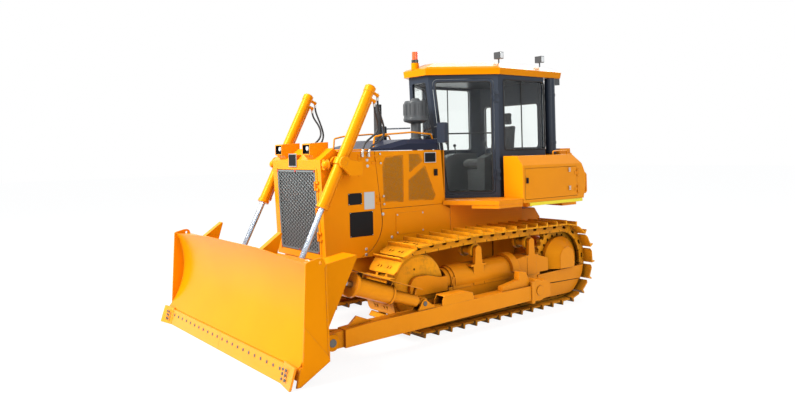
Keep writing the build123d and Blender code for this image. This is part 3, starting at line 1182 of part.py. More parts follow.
with BuildPart() as lamps:
    # work lamps in the housing's scoops
    for y in (334, -334):
        add(rod((1602, y, 2193), (1652, y, 2193), 34))
        add(block(1612, 1636, y - 16, y + 16, 2154, 2180))
    # two on the roof's left edge, and one behind each rear corner
    for x, z in ((-1370, 3346), (-2240, 3346)):
        add(rod((x, 500, z), (x, 500, z + 70), 10))
        add(block(x - 35, x + 35, 440, 560, z + 64, z + 160))
    for y in (540, -680):
        add(block(-2470, -2352, y, y + 140, 3070, 3215))
        add(block(-2356, -2344, y + 30, y + 110, 3160, 3215))
lamps.part.label = "lamps"
export_step(lamps.part, "parts/lamps.step")

with BuildPart() as mirrors:
    for side_of in (1, -1):
        with BuildSketch(front(-175)):
            with Locations((side_of * 652, 2365)):
                RectangleRounded(150, 262, 26)
        extrude(amount=56)
        add(rod((-350, side_of * 262, 2456), (-160, side_of * 600, 2456), 10))
        add(rod((-350, side_of * 262, 2290), (-160, side_of * 600, 2290), 10))
mirrors.part.label = "mirrors"
export_step(mirrors.part, "parts/mirrors.step")

# ---- hoses from the hood to the tops of the lift cylinders --------------------------------------
HOSE_R = 12


def hose(*route):
    """Tube along straight runs joined by the largest arcs that they allow."""
    points = [Vector(*point) for point in route]
    edges, here = [], points[0]
    for before, corner, after in zip(points, points[1:], points[2:]):
        to, on = corner - before, after - corner
        turn = to.get_angle(on)
        reach = 0.45 * min(to.length, on.length)
        first, last = corner - to.normalized() * reach, corner + on.normalized() * reach
        bisector = (on.normalized() - to.normalized()).normalized()
        radius = reach / tan(radians(turn / 2))
        centre = corner + bisector * (radius / cos(radians(turn / 2)))
        edges += [Edge.make_line(here, first),
                  Edge.make_three_point_arc(first, centre - bisector * radius, last)]
        here = last
    edges.append(Edge.make_line(here, points[-1]))
    route_wire = Wire(edges)
    return sweep(Plane(origin=route_wire @ 0, z_dir=route_wire % 0) * Circle(HOSE_R), path=route_wire)


hoses_left = [
    hose((ports[0].X, YOKE_Y, ports[0].Z), (915, 714, 2716), (888, 695, 2638), (832, 668, 2546), (780, 647, 2442), (768, 640, 2350), (815, 633, 2280),
         (890, 625, 2236), (958, 616, 2200), (983, 612, 2134)),
    hose((ports[1].X, YOKE_Y, ports[1].Z), (961, 713, 2650), (928, 688, 2580), (872, 645, 2512), (838, 616, 2438), (858, 604, 2366), (922, 601, 2316),
         (1000, 599, 2266), (1050, 598, 2205), (1063, 597, 2134))]
hoses_right = [
    hose((ports[0].X, -YOKE_Y, ports[0].Z), (916, -714, 2716), (900, -697, 2638), (874, -670, 2546), (849, -647, 2446), (836, -640, 2362), (862, -633, 2290),
         (912, -625, 2240), (962, -616, 2200), (983, -612, 2134)),
    hose((ports[1].X, -YOKE_Y, ports[1].Z), (962, -713, 2650), (943, -688, 2580), (912, -648, 2512), (893, -620, 2438), (900, -604, 2360), (942, -601, 2300),
         (1004, -599, 2256), (1050, -598, 2204), (1063, -597, 2134))]
for hand, pair in (("left", hoses_left), ("right", hoses_right)):
    both = Compound(children=pair)
    both.label = f"lift_hoses_{hand}"
    export_step(both, f"parts/lift_hoses_{hand}.step")

with BuildPart() as hose_elbows:
    for x, y in ((984, 612), (1064, 597)):
        add(rod((x, y, 2129), (x, y, 2080), 17))
        add(rod((x, y + 12, 2092), (x, HOOD_HALF, 2092), 15))
    mirror(about=Plane.XZ)
hose_elbows.part.label = "hose_elbows"
export_step(hose_elbows.part, "parts/hose_elbows.step")
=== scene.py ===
"""Look of a crawler bulldozer: paint, steel, glass, rubber and the small fittings on its frame."""
from math import cos, hypot, pi, radians, sin, sqrt

import bmesh
import bpy
from mathutils import Matrix, Vector


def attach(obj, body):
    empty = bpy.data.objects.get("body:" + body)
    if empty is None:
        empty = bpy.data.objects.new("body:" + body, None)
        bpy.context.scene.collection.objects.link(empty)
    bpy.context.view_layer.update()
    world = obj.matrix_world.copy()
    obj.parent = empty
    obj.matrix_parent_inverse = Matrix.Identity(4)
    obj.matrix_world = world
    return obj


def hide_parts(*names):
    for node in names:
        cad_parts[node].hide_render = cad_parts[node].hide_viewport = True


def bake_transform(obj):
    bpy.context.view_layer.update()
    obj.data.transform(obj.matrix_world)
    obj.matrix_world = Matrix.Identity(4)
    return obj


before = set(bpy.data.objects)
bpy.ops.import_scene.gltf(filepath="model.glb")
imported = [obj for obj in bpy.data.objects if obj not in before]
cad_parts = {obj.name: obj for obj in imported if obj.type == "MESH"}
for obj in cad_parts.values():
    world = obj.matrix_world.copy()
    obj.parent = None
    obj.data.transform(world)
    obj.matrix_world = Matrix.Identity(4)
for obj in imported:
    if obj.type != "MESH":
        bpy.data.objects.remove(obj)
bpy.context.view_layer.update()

# ---- studio ----
# The machine stands on a pale floor under soft light, with a white sky behind it.
# The camera stands ahead of the left track, a little above the hood's height.
scene = bpy.context.scene
scene.view_settings.view_transform = "Standard"

camera_data = bpy.data.cameras.new("camera")
camera_data.lens = 30.78
camera_data.shift_x, camera_data.shift_y = -0.0091, -0.0892
camera = bpy.data.objects.new("camera", camera_data)
scene.collection.objects.link(camera)
scene.camera = camera
CAMERA_PLACE = (5.6208, 7.2006, 2.158)
heading, climb, roll = radians(51.80), 0.0197, radians(-1.16)
ahead = Vector((-cos(heading), -sin(heading), climb)).normalized()
right = ahead.cross(Vector((0, 0, 1))).normalized()
up = right.cross(ahead)
turned_right = right * cos(roll) + up * sin(roll)
turned_up = up * cos(roll) - right * sin(roll)
camera.matrix_world = Matrix.Translation(CAMERA_PLACE) @ Matrix(
    (turned_right, turned_up, -ahead)).transposed().to_4x4()


def fill(tree, node, **inputs):
    """Link or set each of these inputs of a node, named with _ for a space or numbered as _0."""
    for label, value in inputs.items():
        socket = node.inputs[int(label[1:])] if label[0] == "_" else node.inputs[label.replace("_", " ")]
        if isinstance(value, bpy.types.NodeSocket):
            tree.links.new(value, socket)
        else:
            socket.default_value = value
    return node


def node_in(tree, kind, settings=(), **inputs):
    """Node of this kind with its settings made and its inputs filled."""
    node = tree.nodes.new(kind)
    for label, value in settings:
        setattr(node, label, value)
    return fill(tree, node, **inputs)


def maths(tree, operation, a, b=0.0, clamp=False, c=0.5):
    """Result of one arithmetic step; only MULTIPLY_ADD uses c."""
    return node_in(tree, "ShaderNodeMath", (("operation", operation), ("use_clamp", clamp)),
                   _0=a, _1=b, _2=c).outputs[0]


def times(tree, a, b, clamp=False):
    """Product of two values."""
    return maths(tree, "MULTIPLY", a, b, clamp)


def seen_share(tree):
    """1 for a ray that shows the surroundings to the camera, straight, in gloss or through glass."""
    path = tree.nodes.new("ShaderNodeLightPath")
    share = path.outputs["Is Camera Ray"]
    for other in ("Is Glossy Ray", "Is Transmission Ray"):
        share = maths(tree, "MAXIMUM", share, path.outputs[other])
    return share


world = bpy.data.worlds.new("sky")
scene.world = world
world.use_nodes = True
sky = world.node_tree
sky.nodes.clear()
lighting = node_in(sky, "ShaderNodeBackground", Color=(0.93, 0.97, 1.0, 1), Strength=0.62)
backdrop = node_in(sky, "ShaderNodeBackground", Color=(1, 1, 1, 1), Strength=1.0)
sky_mix = node_in(sky, "ShaderNodeMixShader", Fac=seen_share(sky), _1=lighting.outputs[0],
                  _2=backdrop.outputs[0])
node_in(sky, "ShaderNodeOutputWorld", Surface=sky_mix.outputs[0])

for name, place, size, power, tint in (
        ("key", (8.5, -0.8, 8.5), 4.5, 2100, (1.0, 0.98, 0.93)),
        ("side", (1.0, 9.5, 5.0), 5.0, 215, (1.0, 0.98, 0.95)),
        ("back", (-7.0, -4.0, 6.0), 5.0, 330, (0.95, 0.98, 1.0))):
    lamp_data = bpy.data.lights.new(name, "AREA")
    lamp_data.size, lamp_data.energy, lamp_data.color = size, power, tint
    lamp = bpy.data.objects.new(name, lamp_data)
    scene.collection.objects.link(lamp)
    lamp.matrix_world = Matrix.Translation(place) @ (
        Vector((0, 0, 1)) - Vector(place)).to_track_quat("-Z", "Y").to_matrix().to_4x4()

floor_mesh = bpy.data.meshes.new("floor")
floor_mesh.from_pydata([(-60, -60, 0), (60, -60, 0), (60, 60, 0), (-60, 60, 0)], [], [(0, 1, 2, 3)])
floor = bpy.data.objects.new("floor", floor_mesh)
scene.collection.objects.link(floor)
floor_paint = bpy.data.materials.new("floor")
floor_paint.use_nodes = True
ground = floor_paint.node_tree
matt = ground.nodes["Principled BSDF"]
fill(ground, matt, Base_Color=(0.72, 0.72, 0.72, 1), Roughness=0.9, Specular_IOR_Level=0.0)
glow = node_in(ground, "ShaderNodeEmission", Strength=1.14)
GLOW_SHARE = 0.79       # how far the floor's own light hides its shading from the camera
glow_share = times(ground, seen_share(ground), GLOW_SHARE)
floor_mix = node_in(ground, "ShaderNodeMixShader", Fac=glow_share, _1=matt.outputs[0], _2=glow.outputs[0])
ground.links.new(floor_mix.outputs[0], ground.nodes["Material Output"].inputs["Surface"])
floor_mesh.materials.append(floor_paint)

# ---- yellow paint ----
# Two-pack enamel sprayed on the steelwork: glossy, with orange peel, slight changes of depth,
# a film of dust low down and on ledges, and edges rubbed thin. All other finishes build on it.
# Some of them also get painted shade, darker in their recesses.


def effect(name, inputs, outputs):
    """Empty shader group with these named inputs and outputs, and its two end nodes."""
    group = bpy.data.node_groups.new(name, "ShaderNodeTree")
    for label, kind, default in inputs:
        socket = group.interface.new_socket(label, in_out="INPUT", socket_type=kind)
        socket.default_value = default
    for label, kind in outputs:
        group.interface.new_socket(label, in_out="OUTPUT", socket_type=kind)
    return group, group.nodes.new("NodeGroupInput"), group.nodes.new("NodeGroupOutput")


def blended(tree, share, first, second):
    """Colour mixed from the first towards the second by this share."""
    return node_in(tree, "ShaderNodeMix", (("data_type", "RGBA"),), _0=share, _6=first, _7=second).outputs[2]


def spot_of(tree):
    """Place of the shaded point on its piece."""
    return tree.nodes.new("ShaderNodeTexCoord").outputs["Object"]


def split(tree, vector=None):
    """X, Y and Z of a vector, or of the shaded point's place where none is given."""
    at = spot_of(tree) if vector is None else vector
    return node_in(tree, "ShaderNodeSeparateXYZ", Vector=at).outputs


def noise(tree, scale, detail, rough=0.5):
    """Cloudy share between 0 and 1 over the piece."""
    return node_in(tree, "ShaderNodeTexNoise", Vector=spot_of(tree), Scale=scale, Detail=detail,
                   Roughness=rough).outputs["Fac"]


FLOAT, COLOUR = "NodeSocketFloat", "NodeSocketColor"
depth, deep_in, deep_out = effect(
    "changes of depth", (("Colour", COLOUR, (1, 1, 1, 1)), ("Change", FLOAT, 0.1), ("Scale", FLOAT, 1.5)),
    (("Colour", COLOUR),))
cloud = noise(depth, deep_in.outputs["Scale"], 4.0)
swing = times(depth, maths(depth, "SUBTRACT", cloud, 0.5), deep_in.outputs["Change"])
hue = maths(depth, "MULTIPLY_ADD", swing, 0.05, c=0.5)
varied = node_in(depth, "ShaderNodeHueSaturation", Color=deep_in.outputs["Colour"],
                 Value=maths(depth, "ADD", swing, 1.0), Hue=hue)
depth.links.new(varied.outputs[0], deep_out.inputs[0])

dust, dust_in, dust_out = effect(
    "dust", (("Amount", FLOAT, 0.2), ("Top", FLOAT, 1.2), ("Scale", FLOAT, 6.0)), (("Mask", FLOAT),))
speck = noise(dust, dust_in.outputs["Scale"], 7.0, 0.65)
rise = maths(dust, "DIVIDE", split(dust)["Z"], dust_in.outputs["Top"])
low_down = maths(dust, "SUBTRACT", 1.0, rise, True)
outwards = dust.nodes.new("ShaderNodeNewGeometry").outputs["Normal"]
facing_up = times(dust, split(dust, outwards)["Z"], 0.5, True)
film = times(dust, maths(dust, "ADD", low_down, facing_up), speck)
dust.links.new(times(dust, film, dust_in.outputs["Amount"], True), dust_out.inputs[0])

rub, rub_in, rub_out = effect(
    "rubbed edges", (("Width", FLOAT, 0.006), ("Amount", FLOAT, 0.5), ("Scale", FLOAT, 30.0)),
    (("Mask", FLOAT),))
rounded = node_in(rub, "ShaderNodeBevel", (("samples", 4),), Radius=rub_in.outputs["Width"])
straight = rub.nodes.new("ShaderNodeNewGeometry")
level = node_in(rub, "ShaderNodeVectorMath", (("operation", "DOT_PRODUCT"),),
                _0=rounded.outputs[0], _1=straight.outputs["Normal"]).outputs["Value"]
edge = times(rub, maths(rub, "SUBTRACT", 1.0, level), 6.0, True)
chips = noise(rub, rub_in.outputs["Scale"], 5.0)
torn = times(rub, maths(rub, "SUBTRACT", chips, 0.42), 5.0, True)
worn_off = times(rub, edge, torn)
rub.links.new(times(rub, worn_off, rub_in.outputs["Amount"], True), rub_out.inputs[0])

peel, peel_in, peel_out = effect(
    "peel", (("Scale", FLOAT, 350.0), ("Swell", FLOAT, 9.0)), (("Height", FLOAT),))
fine = noise(peel, peel_in.outputs["Scale"], 2.0)
broad = noise(peel, peel_in.outputs["Swell"], 2.0)
peel.links.new(maths(peel, "ADD", fine, times(peel, broad, 3.0)), peel_out.inputs[0])

# Painted shade: ambient occlusion darkens the colour towards a dark brown in recesses, corners and between
# parts.
recess, recess_in, recess_out = effect(
    "painted shade in recesses", (("Reach", FLOAT, 0.22), ("Amount", FLOAT, 0.5)), (("Mask", FLOAT),))
hollow = node_in(recess, "ShaderNodeAmbientOcclusion", (("samples", 4),), Distance=recess_in.outputs["Reach"])
shut_in = times(recess, maths(recess, "SUBTRACT", 0.85, hollow.outputs["AO"], True), 1.6, True)
recess.links.new(times(recess, shut_in, recess_in.outputs["Amount"], True), recess_out.inputs[0])


def placed(tree, group, **values):
    """An effect group placed in a material with its own values."""
    return node_in(tree, "ShaderNodeGroup", (("node_tree", group),), **values).outputs[0]


DUST = (0.42, 0.33, 0.22, 1)
# dark brown of the painted shade in recesses
SHADE_BROWN = (0.045, 0.016, 0.003, 1)


def finish(name, colour, rough=0.35, metal=0.0, change=0.12, dusty=0.15, dust_top=1.2, worn=0.35,
           bare=(0.30, 0.27, 0.24, 1), bump=0.02, peel_scale=350.0, round_edge=0.004, pattern=None,
           coat=0.0, recess_shade=0.0, **shader):
    """Painted or plain metal, plastic or rubber: depth, rubbed edges, dust, painted shade in recesses and a
    fine surface.
    """
    material = bpy.data.materials.new(name)
    material.use_nodes = True
    tree = material.node_tree
    skin = tree.nodes["Principled BSDF"]
    tint = placed(tree, depth, Colour=(*colour, 1), Change=change)
    if pattern:
        tint = pattern(tree, tint)
    wear = placed(tree, rub, Amount=worn)
    film_here = placed(tree, dust, Amount=dusty, Top=dust_top)
    shown = blended(tree, film_here, blended(tree, wear, tint, bare), DUST)
    # painted shade in recesses, from ambient occlusion
    if recess_shade:
        shown = blended(tree, placed(tree, recess, Amount=recess_shade), shown, SHADE_BROWN)
    roughness = maths(tree, "ADD", times(tree, film_here, 0.5), rough, True)
    soft = node_in(tree, "ShaderNodeBevel", (("samples", 4),), Radius=round_edge)
    grain = node_in(tree, "ShaderNodeBump", Strength=bump, Distance=0.002,
                    Height=placed(tree, peel, Scale=peel_scale), Normal=soft.outputs[0])
    fill(tree, skin, Base_Color=shown, Roughness=roughness, Metallic=metal, Coat_Weight=coat,
         Coat_Roughness=0.06, Normal=grain.outputs[0], **shader)
    return material


def coat(material, *nodes):
    """Give these CAD nodes this finish."""
    for node in nodes:
        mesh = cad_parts[node].data
        mesh.materials.clear()
        mesh.materials.append(material)


YELLOW = (0.84, 0.275, 0.003)
GOLD_GLOSS = (1.0, 0.52, 0.04, 1)
YELLOW_GLOSS = {"Specular_IOR_Level": 0.35, "Specular_Tint": GOLD_GLOSS}
# the body's yellow, with light painted shade in its recesses
yellow_paint = finish("yellow_paint", YELLOW, rough=0.26, dusty=0.02, recess_shade=0.35, **YELLOW_GLOSS)
coat(yellow_paint, "hood_panels", "engine_door_left", "engine_door_right", "lift_yokes",
     "lift_barrel_left", "lift_barrel_right", "fender_box_left", "fender_box_right", "box_door_left",
     "box_door_right", "fuel_tank", "grab_handles")
# Painted shade: a darker, less glossy copy of the same yellow, on the blade and the cab's roof.
blade_shade_yellow = finish("blade_paint", (0.76, 0.245, 0.0015), rough=0.22, dusty=0.0, recess_shade=0.35,
                    Specular_IOR_Level=0.16, Specular_Tint=(1.0, 0.45, 0.01, 1))
coat(blade_shade_yellow, "blade", "cab_roof")
NEAR_BLACK = (0.02, 0.02, 0.02, 1)
HOOD_LAMP_Y, SCOOP_HALF = 0.334, 0.0775
SCOOP_ENDS = (("GREATER_THAN", "X", 1.460), ("GREATER_THAN", "Z", 2.1245),
              ("LESS_THAN", "Z", 2.2425), ("LESS_THAN", "X", 1.6715))


def dark_scoops(tree, tint):
    """Near-black inside the two lamp scoops: painted shade in the recesses round the lamps."""
    at = split(tree)
    across = maths(tree, "SUBTRACT", maths(tree, "ABSOLUTE", at["Y"]), HOOD_LAMP_Y)
    inside = maths(tree, "LESS_THAN", maths(tree, "ABSOLUTE", across), SCOOP_HALF)
    for operation, axis, limit in SCOOP_ENDS:
        inside = times(tree, inside, maths(tree, operation, at[axis], limit))
    return blended(tree, inside, tint, NEAR_BLACK)


guard_paint = finish("guard_paint", YELLOW, rough=0.26, dusty=0.02, pattern=dark_scoops, **YELLOW_GLOSS)
coat(guard_paint, "radiator_guard")

# the chassis and arms sit low, where dust gathers, and get strong painted shade in their recesses
low_paint = finish("chassis_paint", (0.84, 0.275, 0.004), rough=0.34, dusty=0.04, worn=0.45,
                   recess_shade=0.95, **YELLOW_GLOSS)
coat(low_paint, "final_drives", "track_frame_left", "track_frame_right", "main_frame", "rear_case", "drawbar",
     "push_arm_left", "push_arm_right", "tilt_cylinder", "tilt_brace")

# ---- chequered platform ----
# Steel decking of the step and the floor beside the cab, painted with the rest.
# A raised tread is rolled into the plate, and the paint is darker between its studs.


def tread(tree, tint):
    """Paint darkened between the studs of the rolled plate."""
    studs = node_in(tree, "ShaderNodeTexVoronoi", (("feature", "F1"), ("distance", "CHEBYCHEV")),
                    Vector=spot_of(tree), Scale=26.0, Randomness=0.0)
    gap = times(tree, maths(tree, "SUBTRACT", studs.outputs["Distance"], 0.3), 1.6, True)
    return blended(tree, times(tree, gap, 0.25), tint, (0.45, 0.12, 0.005, 1))


deck_paint = finish("deck_paint", (0.84, 0.262, 0.004), rough=0.42, dusty=0.05, dust_top=2.0, worn=0.6,
                    pattern=tread, bump=0.12, peel_scale=120.0, **YELLOW_GLOSS)
coat(deck_paint, "floor_platform")

# ---- tracks ----
# Forged links, rollers and shoes, sprayed with the machine before its first shift.
# The running faces, grouser tips and sprocket teeth are already rubbed to brown steel.


def ground_wear(tree, tint):
    """Paint that browns in cloudy patches over the track."""
    rust = noise(tree, 9.0, 8.0, 0.7)
    share = times(tree, maths(tree, "SUBTRACT", rust, 0.50), 2.6, True)
    return blended(tree, share, tint, (0.30, 0.115, 0.018, 1))


# strong painted shade in the recesses of the chain, rollers and wheels
track_paint = finish("track_paint", (0.92, 0.36, 0.006), rough=0.42, change=0.2, dusty=0.08, worn=0.9,
                     bare=(0.16, 0.10, 0.06, 1), pattern=ground_wear, bump=0.06, peel_scale=90.0, recess_shade=0.95,
                     **YELLOW_GLOSS)
coat(track_paint, "track_left", "track_right", "sprockets", "idlers", "rollers")

# ---- dark grey paint ----
# Satin blue-grey enamel on the cab, its doors, posts and mirrors and on the hood's top cover.
# It is the same enamel as the yellow, so it shows the same orange peel.
slate_paint = finish("slate_paint", (0.019, 0.027, 0.044), rough=0.34, dusty=0.03, dust_top=0.5, worn=0.25,
                     coat=0.05, Specular_IOR_Level=0.28)
coat(slate_paint, "cab_frame", "cab_door_left", "cab_door_right", "rear_posts", "mirrors")
CREST_X, CREST_Z, HOOD_FALL = 0.370, 2.2875, 0.2075


def yellow_rails(tree, tint):
    """Yellow on the grab rails that stand over the hood's sloping top."""
    at = split(tree)
    past = maths(tree, "MAXIMUM", maths(tree, "SUBTRACT", at["X"], CREST_X), 0.0)
    level_z = maths(tree, "ADD", at["Z"], times(tree, past, HOOD_FALL))
    return blended(tree, maths(tree, "GREATER_THAN", level_z, CREST_Z), tint, (*YELLOW, 1))


hood_paint = finish("hood_paint", (0.013, 0.017, 0.038), rough=0.34, dusty=0.03, dust_top=0.5, worn=0.25,
                    pattern=yellow_rails, Specular_IOR_Level=0.16)
coat(hood_paint, "hood_cover")

# ---- steel, chrome and cast parts ----
# The pins are bare turned steel, the hose elbows zinc plated and the cylinders' rods hard chrome.
# The cutting edges are bolted-on wear steel, painted over, and the engine is a grey cast block.


def turned(tree, tint):
    """Fine marks left by the lathe on the pins."""
    rings = times(tree, noise(tree, 420.0, 1.0), 0.12)
    return blended(tree, rings, tint, (0.35, 0.36, 0.38, 1))


# Hard chrome, its blue cast a painted reflection of the sky.
chrome = finish("chrome", (0.40, 0.45, 0.53), rough=0.16, metal=1.0, change=0.04, dusty=0.0, worn=0.0,
                bump=0.0, round_edge=0.03)
coat(chrome, "lift_rod_left", "lift_rod_right", "tilt_rod")
zinc = finish("zinc", (0.60, 0.60, 0.57), rough=0.32, metal=0.9, change=0.2, dusty=0.1, worn=0.2, bump=0.05)
coat(zinc, "hose_elbows")
pin_steel = finish("pin_steel", (0.10, 0.10, 0.10), rough=0.42, metal=0.7, change=0.25, dusty=0.2,
                   pattern=turned, bump=0.04)
coat(pin_steel, "blade_pins")
edge_paint = finish("edge_paint", (0.88, 0.28, 0.005), rough=0.30, dusty=0.06, worn=0.9,
                    bare=(0.22, 0.19, 0.16, 1), Specular_Tint=GOLD_GLOSS)
coat(edge_paint, "cutting_edges")
cast_iron = finish("cast_iron", (0.10, 0.105, 0.11), rough=0.6, change=0.3, dusty=0.3, bump=0.2,
                   peel_scale=160.0)
coat(cast_iron, "engine_block")

# ---- black parts ----
# The stack is heat-proof black. The plate behind the grille is near-black too, for the dark radiator
# and painted shade seen through the mesh. The lamps, levers, consoles, seat base and intake bowl are
# moulded plastic with a fine spark-eroded grain.
stack_black = finish("stack_black", (0.022, 0.022, 0.024), rough=0.55, change=0.3, dusty=0.05, worn=0.3,
                     bump=0.08, peel_scale=220.0)
coat(stack_black, "exhaust_stack")
HINGE_LEAF_Y = 0.4535


def yellow_hinges(tree, tint):
    """Yellow on the hinge leaves along the grille door's left edge."""
    return blended(tree, maths(tree, "GREATER_THAN", split(tree)["Y"], HINGE_LEAF_Y), tint, (*YELLOW, 1))


# the door's plate is painted shade behind the mesh, near-black but for its hinge leaves
coat(finish("grille_backing", (0.022, 0.022, 0.024), rough=0.55, worn=0.1, pattern=yellow_hinges),
     "grille_door")
moulded = finish("moulded_plastic", (0.055, 0.062, 0.066), rough=0.48, change=0.15, dusty=0.04, worn=0.1,
                 bare=(0.09, 0.09, 0.09, 1), bump=0.10, peel_scale=700.0)
coat(moulded, "consoles", "levers", "seat_base")
bowl_black = finish("bowl_black", (0.050, 0.056, 0.062), rough=0.36, change=0.15, dusty=0.03, worn=0.1,
                    bump=0.06, peel_scale=500.0)
coat(bowl_black, "air_precleaner", "lamps")


def fins(tree, tint):
    """Rows of thin cooling fins between the tubes, with painted shade near-black in the gaps."""
    at = split(tree)
    tubes = maths(tree, "GREATER_THAN", maths(tree, "FRACT", times(tree, at["Y"], 85.0)), 0.8)
    gaps = maths(tree, "GREATER_THAN", maths(tree, "FRACT", times(tree, at["Z"], 260.0)), 0.5)
    return blended(tree, tubes, blended(tree, gaps, tint, NEAR_BLACK), (0.10, 0.10, 0.10, 1))


core = finish("radiator_core", (0.06, 0.06, 0.06), rough=0.5, metal=0.5, pattern=fins)
coat(core, "radiator")

# ---- cab glass ----
# Toughened panes bonded into the shell and the doors, all but colourless.
# A film of dust roughens them a little, most of all low down.
pane = bpy.data.materials.new("cab_glass")
pane.use_nodes = True
pane_tree = pane.node_tree
clear = pane_tree.nodes["Principled BSDF"]
smear = placed(pane_tree, depth, Colour=(0.95, 0.98, 0.97, 1), Change=0.03)
dulled = times(pane_tree, placed(pane_tree, dust, Amount=0.05, Top=4.0), 0.2)
fill(pane_tree, clear, Metallic=0.0, Transmission_Weight=1.0, IOR=1.25, Base_Color=smear, Roughness=dulled)
coat(pane, "cab_glass", "door_glass_left", "door_glass_right")

# ---- beacon ----
# A flashing lamp on the roof's nose: an orange-red lens with fine upright flutes on a black foot.
# The flutes are bands of colour; the lens itself is round.
BEACON_X, BEACON_Y, BEACON_FOOT_TOP = -0.30, -0.06, 3.392


def flutes(tree, tint):
    """Lens above the foot's top, fluted round its axis, and black below."""
    at = split(tree)
    turn = maths(tree, "ARCTAN2", maths(tree, "SUBTRACT", at["Y"], BEACON_Y),
                 maths(tree, "SUBTRACT", at["X"], BEACON_X))
    wave = maths(tree, "SINE", times(tree, turn, 24.0))
    ridge = maths(tree, "ADD", times(tree, wave, 0.5), 0.5)
    lens = blended(tree, ridge, tint, (0.95, 0.16, 0.02, 1))
    return blended(tree, maths(tree, "LESS_THAN", at["Z"], BEACON_FOOT_TOP), lens, NEAR_BLACK)


lens_red = finish("beacon_lens", (0.80, 0.045, 0.008), rough=0.12, dusty=0.02, worn=0.0, pattern=flutes,
                  bump=0.01, coat=0.5)
coat(lens_red, "beacon")

# ---- bolts ----
# Hexagon bolts on washers: painted with the shoes, bare on the blade, zinc plated elsewhere.
# One tree puts a head and its washer on every point, along that point's own outward direction.


def grown_tree(name, sizes):
    """Empty geometry tree with a Points input, these named sizes and a Material."""
    tree = bpy.data.node_groups.new(name, "GeometryNodeTree")
    tree.interface.new_socket("Points", in_out="INPUT", socket_type="NodeSocketGeometry")
    for label, default in sizes:
        tree.interface.new_socket(label, in_out="INPUT", socket_type=FLOAT).default_value = default
    tree.interface.new_socket("Material", in_out="INPUT", socket_type="NodeSocketMaterial")
    tree.interface.new_socket("Pieces", in_out="OUTPUT", socket_type="NodeSocketGeometry")
    return tree, tree.nodes.new("NodeGroupInput"), tree.nodes.new("NodeGroupOutput")


def stood_on_points(tree, ends, shape):
    """Put this shape on each point, turned to the point's axis, made real and given its material."""
    given, result = ends
    axis = node_in(tree, "GeometryNodeInputNamedAttribute", (("data_type", "FLOAT_VECTOR"),), Name="axis")
    turn = node_in(tree, "FunctionNodeAlignRotationToVector", (("axis", "Z"),), Vector=axis.outputs[0])
    stood = node_in(tree, "GeometryNodeInstanceOnPoints", Points=given.outputs["Points"], Instance=shape,
                    Rotation=turn.outputs[0])
    real = node_in(tree, "GeometryNodeRealizeInstances", Geometry=stood.outputs[0])
    skinned = node_in(tree, "GeometryNodeSetMaterial", Geometry=real.outputs[0],
                      Material=given.outputs["Material"])
    tree.links.new(skinned.outputs[0], result.inputs[0])


def piece(name, mesh, body, material=None):
    """Object for this mesh, riding on its body, if one is given, and given this material, if one is given."""
    obj = bpy.data.objects.new(name, mesh)
    scene.collection.objects.link(obj)
    if material:
        mesh.materials.clear()
        mesh.materials.append(material)
    if body:
        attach(obj, body)
    return obj


def grown(name, tree, spots, body, slot, material, **sizes):
    """Plain mesh that the tree grows from the spots, rows of a place and an outward direction."""
    seeds = bpy.data.meshes.new(name + "_points")
    seeds.from_pydata([place for place, out in spots], [], [])
    axes = seeds.attributes.new("axis", "FLOAT_VECTOR", "POINT")
    for row, (place, out) in zip(axes.data, spots):
        row.vector = Vector(out).normalized()
    maker = bpy.data.objects.new(name + "_maker", seeds)
    scene.collection.objects.link(maker)
    modifier = maker.modifiers.new("grow", "NODES")
    modifier.node_group = tree
    for item in tree.interface.items_tree:
        if item.in_out == "INPUT" and item.name.replace(" ", "_") in sizes:
            modifier[item.identifier] = sizes[item.name.replace(" ", "_")]
        if item.in_out == "INPUT" and item.name == "Material":
            modifier[item.identifier] = material
    mesh = bpy.data.meshes.new_from_object(maker.evaluated_get(bpy.context.evaluated_depsgraph_get()))
    mesh.name = name
    maker.modifiers.clear()
    bpy.data.objects.remove(maker)
    return piece(name, mesh, body)


bolt_tree, *bolt_ends = grown_tree("hexagon bolts", (("Across", 0.024), ("Height", 0.010), ("Washer", 0.018)))
bolt_in = bolt_ends[0].outputs
head = node_in(bolt_tree, "GeometryNodeMeshCylinder", Vertices=6, Depth=bolt_in["Height"],
               Radius=maths(bolt_tree, "DIVIDE", bolt_in["Across"], sqrt(3)))
washer = node_in(bolt_tree, "GeometryNodeMeshCylinder", Vertices=12, Radius=bolt_in["Washer"], Depth=0.005)
lift = node_in(bolt_tree, "ShaderNodeCombineXYZ", Z=times(bolt_tree, bolt_in["Height"], 0.5))
raised = node_in(bolt_tree, "GeometryNodeTransform", Geometry=head.outputs["Mesh"],
                 Translation=lift.outputs[0])
bolt_shape = bolt_tree.nodes.new("GeometryNodeJoinGeometry")
bolt_tree.links.new(raised.outputs[0], bolt_shape.inputs[0])
bolt_tree.links.new(washer.outputs["Mesh"], bolt_shape.inputs[0])
stood_on_points(bolt_tree, bolt_ends, bolt_shape.outputs[0])


def bolts(name, spots, body, material, across, height, washer):
    """Bolts on these spots, with these widths of head and washer."""
    grown(name, bolt_tree, spots, body, "worn_steel", material, Across=across, Height=height,
          Washer=washer)


def both_sides(spots):
    """These spots and their mirror images across the middle of the machine."""
    return spots + [((x, -y, z), (a, -b, c)) for (x, y, z), (a, b, c) in spots]


SIDES = (("left", 1), ("right", -1))

